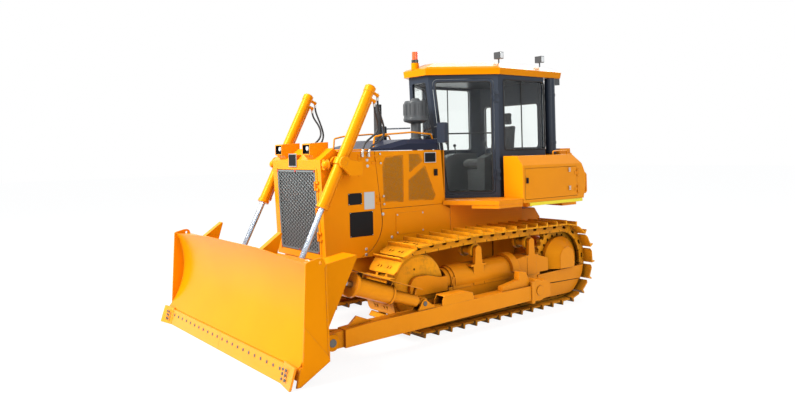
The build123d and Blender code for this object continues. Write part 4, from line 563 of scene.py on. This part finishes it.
# shoe bolts: four on each plate, found as the large flat patches on the outside of the track
TRACK_Y, SHOE_BOLT_Y, SHOE_BOLT_X = 0.940, (-0.115, -0.062, 0.062, 0.115), 0.012
SHOE_PATCH = 0.035      # least area of a shoe's flat
SHOE_RISE = 0.002       # how far its bolts stand off it
rear_wheel, front_wheel = Vector((-1.95, 0, 0.57)), Vector((0.62, 0, 0.552))
run = front_wheel - rear_wheel
track_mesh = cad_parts["track_left"].data
track_mesh.calc_loop_triangles()
patches = []
patch_at = {}
for face in track_mesh.loop_triangles:
    normal, middle = face.normal, face.center.copy()
    middle.y = 0
    share = min(1, max(0, (middle - rear_wheel).dot(run) / run.length_squared))
    outward = (middle - rear_wheel - run * share).normalized()
    if abs(normal.y) < 0.02 and normal.dot(outward) > 0.7:
        facing = (round(normal.x, 1), round(normal.z, 1))
        corners = [(facing,) + tuple(round(c, 3) for c in track_mesh.vertices[v].co) for v in face.vertices]
        row = (face.area, face.center.copy(), normal.copy())
        joined = {id(patch_at[c]): patch_at[c] for c in corners if c in patch_at}
        patch = {"rows": [row], "corners": list(corners)}
        for other in joined.values():
            patch["rows"] += other["rows"]
            patch["corners"] += other["corners"]
            patches.remove(other)
        patches.append(patch)
        for corner in patch["corners"]:
            patch_at[corner] = patch
shoe_spots = []
for patch in patches:
    area = sum(size for size, _, _ in patch["rows"])
    if area > SHOE_PATCH:
        middle = sum((centre * size for size, centre, _ in patch["rows"]), Vector()) / area
        out = patch["rows"][0][2]
        along = Vector((0, 1, 0)).cross(out)
        for y in SHOE_BOLT_Y:
            at = Vector((middle.x, TRACK_Y + y, middle.z)) + along * SHOE_BOLT_X + out * SHOE_RISE
            shoe_spots.append((tuple(at), tuple(out)))
bolts("shoe_bolts", both_sides(shoe_spots), "root", track_paint, 0.026, 0.009, 0.014)

# countersunk plough bolts along the cutting edge and in fours on its end bits
LIP_X, LIP_Z, LIP_LEAN = 2.589, 0.192, 0.218
lip_out = Vector((1, 0, LIP_LEAN)).normalized()


def lip_spot(y, z, proud):
    """Place over the cutting edge's front face, with the face's direction."""
    return ((LIP_X + LIP_LEAN * (LIP_Z - z) + proud, y, z), tuple(lip_out))


bolts("edge_bolts", [lip_spot(-1.40 + 2.80 * k / 21, 0.128, 0.001) for k in range(22)], "blade",
      pin_steel, 0.030, 0.004, 0.017)

# bright bolts on the housing's sides and down the engine doors' front edges
SIDE_BOLTS = ((0.985, 2.042), (0.979, 1.971), (1.018, 0.990), (1.020, 0.925), (0.765, 1.386), (0.636, 1.097))
bolts("side_bolts", both_sides([((x, 0.576, z), (0, 1, 0)) for x, z in SIDE_BOLTS]), "root", zinc,
      0.026, 0.009, 0.019)
DOOR_BOLTS = ((0.800, 2.110), (0.792, 2.000), (0.757, 1.600), (0.750, 1.505))
for hand, side_of in SIDES:
    bolts(f"door_bolts_{hand}", [((x, side_of * 0.588, z), (0, side_of, 0)) for x, z in DOOR_BOLTS],
          f"engine_door_{hand}", zinc, 0.018, 0.006, 0.013)
bolts("edge_corner_bolts", both_sides([lip_spot(y, z, 0.036) for y in (1.515, 1.575)
                                       for z in (0.07, 0.115, 0.155)]),
      "blade", pin_steel, 0.028, 0.004, 0.016)

# ---- grille mesh ----
# Galvanised steel sheet punched with tall hexagons, screwed to the front of the grille door.
# One tree bends a flat bar round each hexagon; neighbouring bars touch and read as one sheet.
cell_tree, *cell_ends = grown_tree("hexagon cells", (
    ("Radius", 0.02), ("Bar", 0.004), ("Depth", 0.003), ("Turn", 0.0)))
cell_in = cell_ends[0].outputs
cell_ring = node_in(cell_tree, "GeometryNodeCurvePrimitiveCircle", Resolution=6, Radius=cell_in["Radius"])
bar = node_in(cell_tree, "GeometryNodeCurvePrimitiveQuadrilateral", Width=cell_in["Bar"],
              Height=cell_in["Depth"])
cell_bar = node_in(cell_tree, "GeometryNodeCurveToMesh", Curve=cell_ring.outputs[0], _1=bar.outputs[0])
cell_turn = node_in(cell_tree, "ShaderNodeCombineXYZ", Z=cell_in["Turn"])
turned_cell = node_in(cell_tree, "GeometryNodeTransform", Geometry=cell_bar.outputs[0],
                      Rotation=cell_turn.outputs[0])
stood_on_points(cell_tree, cell_ends, turned_cell.outputs[0])


def hexagon_field(low, high, pitch):
    """Middles of close-packed hexagons between two corners of a plane."""
    row_step = pitch * sqrt(3) / 2
    spots = []
    for row in range(int((high[1] - low[1]) / row_step) + 1):
        start = low[0] + (row % 2) * pitch / 2
        for column in range(int((high[0] - start) / pitch) + 1):
            spots.append((start + column * pitch, low[1] + row * row_step))
    return spots


galvanised = finish("galvanised", (0.24, 0.27, 0.28), rough=0.42, metal=0.6, change=0.25, dusty=0.05,
                    worn=0.1, bump=0.05)
GRILLE_PITCH, GRILLE_HALF_Y, GRILLE_Z = 0.046, 0.432, (1.006, 1.917)
GRILLE_X, GRILLE_FOOT_Z = 1.570, 0.895
GRILLE_RAKE = 0.0517241     # forward lean of the door's face for each metre of height


def grille_x(z):
    """Raked front face of the grille door's frame at this height."""
    return GRILLE_X + GRILLE_RAKE * (z - GRILLE_FOOT_Z) + 0.002


grille_out = Vector((1, 0, -GRILLE_RAKE)).normalized()
grille_spots = [((grille_x(z) + 0.003, y, z), tuple(grille_out)) for z, y in hexagon_field(
    (GRILLE_Z[0], -GRILLE_HALF_Y), (GRILLE_Z[1], GRILLE_HALF_Y), GRILLE_PITCH)]
grown("grille_mesh", cell_tree, grille_spots, "grille_door", "black_steel", galvanised,
      Radius=GRILLE_PITCH / sqrt(3) - 0.0022, Bar=0.0060, Depth=0.003, Turn=pi / 6)

# flat rim that holds the mesh, folded from the same sheet


def piece_of(bm, name, body, material):
    """Piece made of this finished shape."""
    mesh = bpy.data.meshes.new(name)
    bm.to_mesh(mesh)
    bm.free()
    return piece(name, mesh, body, material)


def prism(bm, near, far):
    """Closed solid between two matching outlines."""
    ends = [bm.faces.new([bm.verts.new(place) for place in ring]) for ring in (near, far)]
    for k in range(len(near)):
        after = (k + 1) % len(near)
        bm.faces.new((ends[0].verts[k], ends[0].verts[after], ends[1].verts[after], ends[1].verts[k]))


def turning(corners, k):
    """One corner of a closed outline and the directions from it to its two neighbours."""
    here = Vector(corners[k])
    return (here, (Vector(corners[k - 1]) - here).normalized(),
            (Vector(corners[(k + 1) % len(corners)]) - here).normalized())


def strip_frame(name, corners, width, thick, out, body, material):
    """Closed frame of flat strip along these corners, its back on their plane, facing outwards."""
    bm = bmesh.new()
    middle = sum((Vector(c) for c in corners), Vector()) / len(corners)
    rings = []
    for rise in (0, thick):
        for inset in (0, width):
            ring = []
            for k in range(len(corners)):
                here, before, after = turning(corners, k)
                inwards = before + after
                inwards *= inset / max(inwards.cross(after).length, 1e-6)
                if inwards.dot(middle - here) < 0:
                    inwards = -inwards
                ring.append(bm.verts.new(here + inwards + out * rise))
            rings.append(ring)
    count = len(corners)
    for a, b in ((0, 2), (2, 3), (3, 1), (1, 0)):
        for k in range(count):
            bm.faces.new((rings[a][k], rings[a][(k + 1) % count], rings[b][(k + 1) % count], rings[b][k]))
    bmesh.ops.recalc_face_normals(bm, faces=bm.faces)
    bmesh.ops.bevel(bm, geom=[e for e in bm.edges if e.calc_face_angle(0) > 0.6], offset=0.0015,
                    segments=2, affect="EDGES")
    return piece_of(bm, name, body, material)


RIM_HALF_Y, RIM_LOW, RIM_HIGH = 0.450, 0.982, 1.936
strip_frame("grille_rim", [(grille_x(z), y, z) for y, z in (
    (-RIM_HALF_Y, RIM_LOW), (RIM_HALF_Y, RIM_LOW), (RIM_HALF_Y, RIM_HIGH), (-RIM_HALF_Y, RIM_HIGH))],
    0.020, 0.006, grille_out, "grille_door", galvanised)
red_cap = finish("red_cap", (0.55, 0.03, 0.02), rough=0.4, dusty=0.05)
bolts("grille_bolts", [((grille_x(z) + 0.006, y, z), tuple(grille_out)) for y in (-0.440, 0, 0.440)
                       for z in (0.992, 1.926)], "grille_door", red_cap, 0.018, 0.007, 0.012)

# ---- perforated panels of the engine doors ----
# Three panels of punched sheet sit in each door's recesses and let the engine breathe.
# They are sprayed with the door, over a backing of a deeper yellow that is painted shade seen through the
# holes.
PANELS = (      # corners x and z of each recess
    ((.712, 2.078), (.439, 2.090), (.446, 1.512), (.745, 1.528), (.764, 1.954)),
    ((.350, 2.100), (.179, 2.100), (.126, 2.013), (.352, 1.862)),
    ((.092, 1.956), (-.077, 1.565), (-.040, 1.506), (.366, 1.520), (.362, 1.778)))
PANEL_PITCH, RECESS_Y = 0.0185, 0.5690
EDGE_GAP, BACKING_INSET = 0.011, 0.012


def well_inside(x, z, corners, margin):
    """Whether a point lies this far inside a convex outline."""
    middle = (sum(c[0] for c in corners) / len(corners), sum(c[1] for c in corners) / len(corners))
    for (x0, z0), (x1, z1) in zip(corners, corners[1:] + corners[:1]):
        length = hypot(x1 - x0, z1 - z0)
        side_of = ((x1 - x0) * (z - z0) - (z1 - z0) * (x - x0)) / length
        side_middle = ((x1 - x0) * (middle[1] - z0) - (z1 - z0) * (middle[0] - x0)) / length
        if side_of * side_middle < 0 or abs(side_of) < margin:
            return False
    return True


# painted shade in the panels' holes, a deeper yellow
hole_shade = finish("hole_shade", (0.62, 0.27, 0.008), rough=0.8, dusty=0.05, worn=0.0)
for hand, side_of in SIDES:
    panel_spots = []
    backing = bmesh.new()
    for corners in PANELS:
        xs, zs = [c[0] for c in corners], [c[1] for c in corners]
        panel_spots += [((x, side_of * (RECESS_Y + 0.0030), z), (0, side_of, 0)) for x, z in hexagon_field(
            (min(xs), min(zs)), (max(xs), max(zs)), PANEL_PITCH) if well_inside(x, z, corners, EDGE_GAP)]
        middle = Vector((sum(xs), 0, sum(zs))) / len(corners)
        outline = [Vector((x, 0, z)) for x, z in corners]
        outline = [c + (middle - c).normalized() * BACKING_INSET for c in outline]
        prism(backing, *([(c.x, side_of * (RECESS_Y + rise), c.z) for c in outline]
                         for rise in (0.0002, 0.0008)))
    grown(f"panel_mesh_{hand}", cell_tree, panel_spots, f"engine_door_{hand}", "yellow_paint", yellow_paint,
          Radius=PANEL_PITCH / sqrt(3) - 0.0009, Bar=0.0042, Depth=0.002, Turn=pi / 6)
    bmesh.ops.recalc_face_normals(backing, faces=backing.faces)
    piece_of(backing, f"panel_backing_{hand}", f"engine_door_{hand}", hole_shade)

# ---- plates, latches and trims ----
# Blank data plates are riveted to the housing's left side, and a blank badge sits above the grille.
# Black paddle latches close the doors, and bright strip edges the platform under the side boxes.


def block(name, low, high, body, material, bevel=0.003):
    """Box between two corners with softened edges."""
    bm = bmesh.new()
    bmesh.ops.create_cube(bm, size=1.0)
    for vert in bm.verts:
        vert.co = Vector(((low[i] + high[i]) / 2 + vert.co[i] * (high[i] - low[i])) for i in range(3))
    bmesh.ops.bevel(bm, geom=list(bm.edges), offset=bevel, segments=3, profile=0.6, affect="EDGES")
    return piece_of(bm, name, body, material)


def side_block(name, side_of, xs, ys, zs, body, slot, material, bevel=0.003):
    """Box on one side of the machine, with its y values as they are on the left."""
    y_low, y_high = sorted(side_of * y for y in ys)
    return block(name, (xs[0], y_low, zs[0]), (xs[1], y_high, zs[1]), body, material, bevel)


plate_black = finish("plate_black", (0.006, 0.006, 0.007), rough=0.45, change=0.3, dusty=0.0, worn=0.0,
                     Specular_IOR_Level=0.15)
plate_silver = finish("plate_silver", (0.52, 0.54, 0.56), rough=0.35, metal=0.5, change=0.1, dusty=0.05,
                      worn=0.0)
for name, x, z, wide, high, material in (       # middle and size on the housing's left side
        ("data_plate_small", 1.166, 1.590, 0.194, 0.135, plate_black),
        ("data_plate_bright", 0.962, 1.560, 0.150, 0.205, plate_silver),
        ("data_plate_large", 1.079, 1.290, 0.330, 0.290, plate_black)):
    block(name, (x - wide / 2, 0.575, z - high / 2), (x + wide / 2, 0.579, z + high / 2), "root",
          material, bevel=0.0015)
    bolts(name + "_rivets", [((x + a * (wide / 2 - 0.009), 0.579, z + b * (high / 2 - 0.009)), (0, 1, 0))
                             for a in (1, -1) for b in (1, -1)], "root", zinc, 0.007, 0.002, 0.005)

for name, low, high, body, slot, material, bevel in (
        ("badge_backing", (1.560, -0.130, 2.000), (1.634, 0.030, 2.120), "root", "yellow_paint",
         yellow_paint, 0.003),
        ("badge_rim", (1.632, -0.145, 1.976), (1.640, 0.045, 2.136), "root", "worn_steel", zinc, 0.004),
        ("badge_face", (1.638, -0.133, 1.988), (1.643, 0.033, 2.124), "root", "black_plastic",
         plate_black, 0.002),
        ("door_badge_rim", (-0.084, 0.586, 1.985), (0.108, 0.5895, 2.117), "engine_door_left",
         "worn_steel", zinc, 0.0015),
        ("door_badge", (-0.076, 0.588, 1.993), (0.100, 0.591, 2.109), "engine_door_left",
         "black_plastic", plate_black, 0.001)):
    block(name, low, high, body, material, bevel)

strip_paint = finish("strip_paint", (0.88, 0.72, 0.010), rough=0.3)
for hand, side_of in SIDES:
    for part, door, *spans in (
            ("engine_latch", "engine_door", (-0.110, -0.050), (0.583, 0.590), (1.816, 1.900)),
            ("engine_latch_paddle", "engine_door", (-0.098, -0.062), (0.588, 0.597), (1.842, 1.882)),
            ("box_latch", "box_door", (-1.128, -1.088), (1.212, 1.2235), (1.684, 1.756)),
            ("box_latch_paddle", "box_door", (-1.118, -1.098), (1.2225, 1.228), (1.700, 1.740))):
        side_block(f"{part}_{hand}", side_of, *spans, f"{door}_{hand}", "black_plastic", plate_black)
    for z in (1.565, 1.585, 1.605, 1.815, 1.835, 1.855):
        side_block(f"box_hinge_{hand}_{round(z * 1000)}", side_of, (-1.985, -1.945), (1.2225, 1.2285),
                   (z - 0.007, z + 0.007), f"box_door_{hand}", "worn_steel", zinc)
    for part, *spans in (("sill_strip", (-2.250, -1.154), (1.150, 1.212), (1.420, 1.4295)),
                         ("sill_lip", (-2.250, -1.154), (1.206, 1.213), (1.385, 1.4285))):
        side_block(f"{part}_{hand}", side_of, *spans, "root", "yellow_paint", strip_paint)

# ---- lamps ----
# Round work lamps behind the scoops of the hood, and square lamps on stalks on the roof.
# Each has a bright lens with a pressed pattern.
lens_clear = finish("lamp_lens", (0.78, 0.82, 0.84), rough=0.08, metal=0.7, dusty=0.03, worn=0.0, bump=0.12,
                    peel_scale=60.0, coat=1.0)
lamp_discs = bmesh.new()
for y in (HOOD_LAMP_Y, -HOOD_LAMP_Y):
    bmesh.ops.create_cone(lamp_discs, cap_ends=True, segments=32, radius1=0.031, radius2=0.026, depth=0.008,
                          matrix=Matrix.Translation((1.655, y, 2.193)) @ Matrix.Rotation(pi / 2, 4, "Y"))
piece_of(lamp_discs, "hood_lenses", "root", lens_clear)
for k, (x, y) in enumerate(((-1.370, 0.500), (-2.240, 0.500))):
    block(f"roof_lens_{k + 1}", (x - 0.027, y + 0.0595, 3.418), (x + 0.027, y + 0.064, 3.498), "root",
          lens_clear, bevel=0.002)

# ---- access panel and strap ----
# A loose cover plate is screwed to the hood's lower side, and a flat strap steadies the lift pipes.
# Both are repeated on the right.
for hand, side_of in SIDES:
    side_block(f"access_panel_{hand}", side_of, (0.126, 0.572), (0.5745, 0.5810), (1.120, 1.382), "root",
               "yellow_paint", yellow_paint, 0.002)
    bolts(f"access_bolts_{hand}", [((x, side_of * 0.5810, z), (0, side_of, 0))
                                   for x in (0.148, 0.550) for z in (1.142, 1.360)],
          "root", zinc, 0.016, 0.005, 0.011)
    side_block(f"pipe_strap_{hand}", side_of, (1.086, 1.116), (0.575, 0.583), (1.850, 2.110), "root",
               "yellow_paint", yellow_paint, 0.002)

# ---- lift hoses ----
# Two rubber hoses on each side run from steel elbows on the hood to the lift barrel's
# upper ports, with slack for its swing. Each is held at both ends by ferrules, the upper one riding on the
# barrel.
HOSES = {       # route of each hose from the barrel's port to the hood's elbow
    "lift_hose_left_1": ((.9167, .715, 2.776), (.915, .714, 2.716), (.888, .695, 2.638), (.832, .668, 2.546),
                         (.780, .647, 2.442), (.768, .640, 2.350), (.815, .633, 2.280), (.890, .625, 2.236),
                         (.958, .616, 2.200), (.983, .612, 2.134)),
    "lift_hose_left_2": ((.9639, .715, 2.705), (.961, .713, 2.650), (.928, .688, 2.580), (.872, .645, 2.512),
                         (.838, .616, 2.438), (.858, .604, 2.366), (.922, .601, 2.316), (1.000, .599, 2.266),
                         (1.050, .598, 2.205), (1.063, .597, 2.134)),
    "lift_hose_right_1": ((.9167, -.715, 2.776), (.916, -.714, 2.716), (.900, -.697, 2.638),
                          (.874, -.670, 2.546), (.849, -.647, 2.446), (.836, -.640, 2.362),
                          (.862, -.633, 2.290), (.912, -.625, 2.240), (.962, -.616, 2.200),
                          (.983, -.612, 2.134)),
    "lift_hose_right_2": ((.9639, -.715, 2.705), (.962, -.713, 2.650), (.943, -.688, 2.580),
                          (.912, -.648, 2.512), (.893, -.620, 2.438), (.900, -.604, 2.360),
                          (.942, -.601, 2.300), (1.004, -.599, 2.256), (1.050, -.598, 2.204),
                          (1.063, -.597, 2.134))}
HOSE_RADIUS = 0.012


def braid(tree, tint):
    """Cloth wrap impressed in the rubber along and across the hose."""
    along = split(tree, tree.nodes.new("ShaderNodeUVMap").outputs["UV"])
    ridge = maths(tree, "FRACT", maths(tree, "ADD", times(tree, along["X"], 190.0),
                                       times(tree, along["Y"], 6.0)))
    return blended(tree, times(tree, maths(tree, "GREATER_THAN", ridge, 0.5), 0.35), tint,
                   (0.045, 0.045, 0.05, 1))


def swept(name, route, radius, rounds, kind="POLY", closed=False):
    """Round tube along a route, smooth but for its flat ends, and the points of its middle line."""
    line = bpy.data.curves.new(name, "CURVE")
    line.dimensions, line.resolution_u = "3D", 8
    line.bevel_resolution, line.use_fill_caps = rounds, not closed
    spline = line.splines.new(kind)
    spline.points.add(len(route) - 1)
    for point, place in zip(spline.points, route):
        point.co = (*place, 1)
    spline.order_u, spline.use_endpoint_u, spline.use_cyclic_u = 3, kind == "NURBS", closed
    guide = bpy.data.objects.new(name + "_line", line)
    scene.collection.objects.link(guide)
    shapes = []
    for depth_now in (0.0, radius):
        line.bevel_depth = depth_now
        graph = bpy.context.evaluated_depsgraph_get()
        graph.update()
        shapes.append(bpy.data.meshes.new_from_object(guide.evaluated_get(graph)))
    bpy.data.objects.remove(guide)
    centre = [vert.co.copy() for vert in shapes[0].vertices]
    shapes[1].name = name
    for face in shapes[1].polygons:
        face.use_smooth = len(face.vertices) == 4
    return shapes[1], centre


rubber = finish("hose_rubber", (0.014, 0.014, 0.015), rough=0.45, dusty=0.03, worn=0.0, pattern=braid,
                bump=0.05, peel_scale=300.0)
for name, route in HOSES.items():
    hand = "left" if "left" in name else "right"
    tube, centre = swept(name, route, HOSE_RADIUS, 4, "NURBS")
    hose = piece(name, tube, None, rubber)
    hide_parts(f"lift_hoses_{hand}")
    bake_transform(hose)
    # crimped steel ferrule at each end
    for k, (a, b, body) in enumerate(((centre[0], centre[3], f"lift_barrel_{hand}"),
                                      (centre[-1], centre[-4], "root"))):
        ferrule = bmesh.new()
        turn = (b - a).to_track_quat("Z", "Y").to_matrix().to_4x4()
        for radius, rise, tall in ((0.0150, 0.020, 0.034), (0.0165, 0.004, 0.008)):
            bmesh.ops.create_cone(ferrule, cap_ends=True, segments=20, radius1=radius, radius2=radius,
                                  depth=tall, matrix=Matrix.Translation(a) @ turn @
                                  Matrix.Translation((0, 0, rise)))
        piece_of(ferrule, f"{name}_ferrule_{k + 1}", body, zinc)

# ---- seat ----
# Suspension seat with a cushion, a tall back and a headrest: foam under a woven cover.
# Each pad is blown up a little in its cover by a short cloth run, then given its sewn channels.


def weave(tree, tint):
    """Coarse basket weave of the seat's cover."""
    at = split(tree)
    threads = [maths(tree, "SINE", times(tree, at[axis], 1400.0)) for axis in "YZ"]
    over = times(tree, threads[0], threads[1])
    return blended(tree, maths(tree, "MULTIPLY_ADD", over, 0.25, True, 0.5), tint, (0.075, 0.078, 0.085, 1))


cloth = finish("seat_cloth", (0.022, 0.023, 0.026), rough=0.9, change=0.3, dusty=0.03, worn=0.0,
               pattern=weave, bump=0.35, peel_scale=900.0, Sheen_Weight=0.3)
SEAT_X, CHANNEL_HALF, CHANNEL_DEPTH = -1.590, 0.012, 0.006
PADS = (        # name, profile corners x and z, half width, most swell, channels across
    ("seat_cushion", ((-.238, 1.862), (.278, 1.882), (.288, 1.950), (.222, 1.988), (-.238, 1.958)),
     .238, .012, (-.110, .110)),
    ("seat_back", ((-.274, 1.990), (-.274, 2.060), (-.342, 2.488), (-.418, 2.488), (-.366, 1.990)),
     .223, .012, (-.105, .105)),
    ("seat_headrest", ((-.425, 2.502), (-.345, 2.502), (-.345, 2.678), (-.425, 2.678)), .138, .008, ()))
for name, profile, half, swell, channels in PADS:
    pad = bmesh.new()
    prism(pad, *([(SEAT_X + x, y, z) for x, z in profile] for y in (-half, half)))
    bmesh.ops.recalc_face_normals(pad, faces=pad.faces)
    bmesh.ops.bevel(pad, geom=list(pad.edges), offset=0.026, segments=4, profile=0.5, affect="EDGES")
    cushion = piece_of(pad, name, "root", cloth)
    remesh = cushion.modifiers.new("even", "REMESH")
    remesh.mode, remesh.voxel_size, remesh.use_smooth_shade = "VOXEL", 0.006, True
    graph = bpy.context.evaluated_depsgraph_get()
    cushion.data = bpy.data.meshes.new_from_object(cushion.evaluated_get(graph))
    cushion.modifiers.clear()
    rest = [v.co.copy() for v in cushion.data.vertices]
    blown = cushion.modifiers.new("blown", "CLOTH")
    blown.settings.use_pressure = True
    blown.settings.uniform_pressure_force = 4.0
    blown.settings.effector_weights.gravity = 0.0
    blown.settings.quality = 4
    for step in range(1, 21):
        scene.frame_set(step)
    graph = bpy.context.evaluated_depsgraph_get()
    full = bpy.data.meshes.new_from_object(cushion.evaluated_get(graph))
    cushion.modifiers.clear()
    for vert, moved, was in zip(cushion.data.vertices, full.vertices, rest):
        shift = moved.co - was
        vert.co = was + shift * min(1.0, swell / max(shift.length, 1e-6))
    scene.frame_set(1)
    for vert in cushion.data.vertices:
        for across in channels:
            near = abs(vert.co.y - across) / CHANNEL_HALF
            if near < 1:
                inwards = CHANNEL_DEPTH * (1 + cos(pi * near)) / 2
                vert.co -= Vector(vert.normal) * inwards
    for face in cushion.data.polygons:
        face.use_smooth = True
    cushion.data.materials.clear()
    cushion.data.materials.append(cloth)
    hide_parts("seat")

# ---- cab trim ----
# Black rubber seals run round the side, rear and door panes, and a thin bar divides each side window.
# A rail crosses each door inside.
seal_rubber = finish("seal_rubber", (0.012, 0.012, 0.013), rough=0.6, dusty=0.03, worn=0.0, bump=0.05)


def seal(name, route, radius, body="root", closed=False):
    """Round rubber or bar along a route."""
    return piece(name, swept(name, route, radius, 2, closed=closed)[0], body, seal_rubber)


def rounded_route(corners, radius, steps=5):
    """Outline in a plane with its corners rounded."""
    route = []
    for k in range(len(corners)):
        here, before, after = turning(corners, k)
        for step in range(steps + 1):
            t = step / steps
            route.append((here + before * radius) * (1 - t) ** 2 + here * 2 * t * (1 - t)
                         + (here + after * radius) * t ** 2)
    return route


DOOR_OUT = Vector((580, 759, 0)).normalized()
DOOR_ALONG = Vector((759, -580, 0)).normalized()
KINK = Vector((-1.055, 0.780, 0))
DOOR_FRAME = 0.040
DOOR_PANE = ((0.060 + DOOR_FRAME, 1.576), (0.746 - DOOR_FRAME, 1.576), (0.898 - DOOR_FRAME, 3.056),
             (0.060 + DOOR_FRAME, 3.056))
SIDE_PANE = ((-1.985, 2.125), (-1.155, 2.125), (-1.155, 3.085), (-1.985, 3.085))


def on_door(along, z, depth, side_of):
    """Point in a door's plane, this far along it from the kink and this deep."""
    at = KINK + DOOR_ALONG * along - DOOR_OUT * depth
    return Vector((at.x, side_of * at.y, z))


for hand, side_of in SIDES:
    window = [Vector((x, side_of * 0.781, z)) for x, z in SIDE_PANE]
    seal(f"side_seal_{hand}", rounded_route(window, 0.05), 0.011, closed=True)
    seal(f"window_bar_{hand}", [Vector((-1.519, side_of * 0.768, z)) for z in (2.130, 3.080)], 0.009)
    door_pane = [on_door(s, z, -0.001, side_of) for s, z in DOOR_PANE]
    seal(f"door_seal_{hand}", rounded_route(door_pane, 0.05), 0.009, f"cab_door_{hand}", True)
    seal(f"door_rail_{hand}", [on_door(s, 2.36, 0.062, side_of) for s in (0.100, 0.770)], 0.010,
         f"cab_door_{hand}")
seal("rear_seal", rounded_route([Vector((-2.141, y, z)) for y, z in (
    (-0.553, 2.145), (0.553, 2.145), (0.553, 2.805), (-0.553, 2.805))], 0.06), 0.011, closed=True)

# ---- pre-cleaner ribs ----
# The intake's bowl has upright ribs moulded round it.
# They stiffen its thin wall against the engine's suction.
BOWL_MIDDLE, RIB_COUNT, RIB_RING, RIB_SIZE = (-0.038, 0.250, 2.680), 16, 0.161, (0.005, 0.005, 0.150, 1)
ribs = bmesh.new()
for k in range(RIB_COUNT):
    made = bmesh.ops.create_cube(ribs, size=1.0)
    turn = Matrix.Translation(BOWL_MIDDLE) @ Matrix.Rotation(2 * pi * k / RIB_COUNT, 4, "Z") @ \
        Matrix.Translation((RIB_RING, 0, 0)) @ Matrix.Diagonal(RIB_SIZE)
    bmesh.ops.transform(ribs, matrix=turn, verts=made["verts"])
piece_of(ribs, "precleaner_ribs", "root", bowl_black)
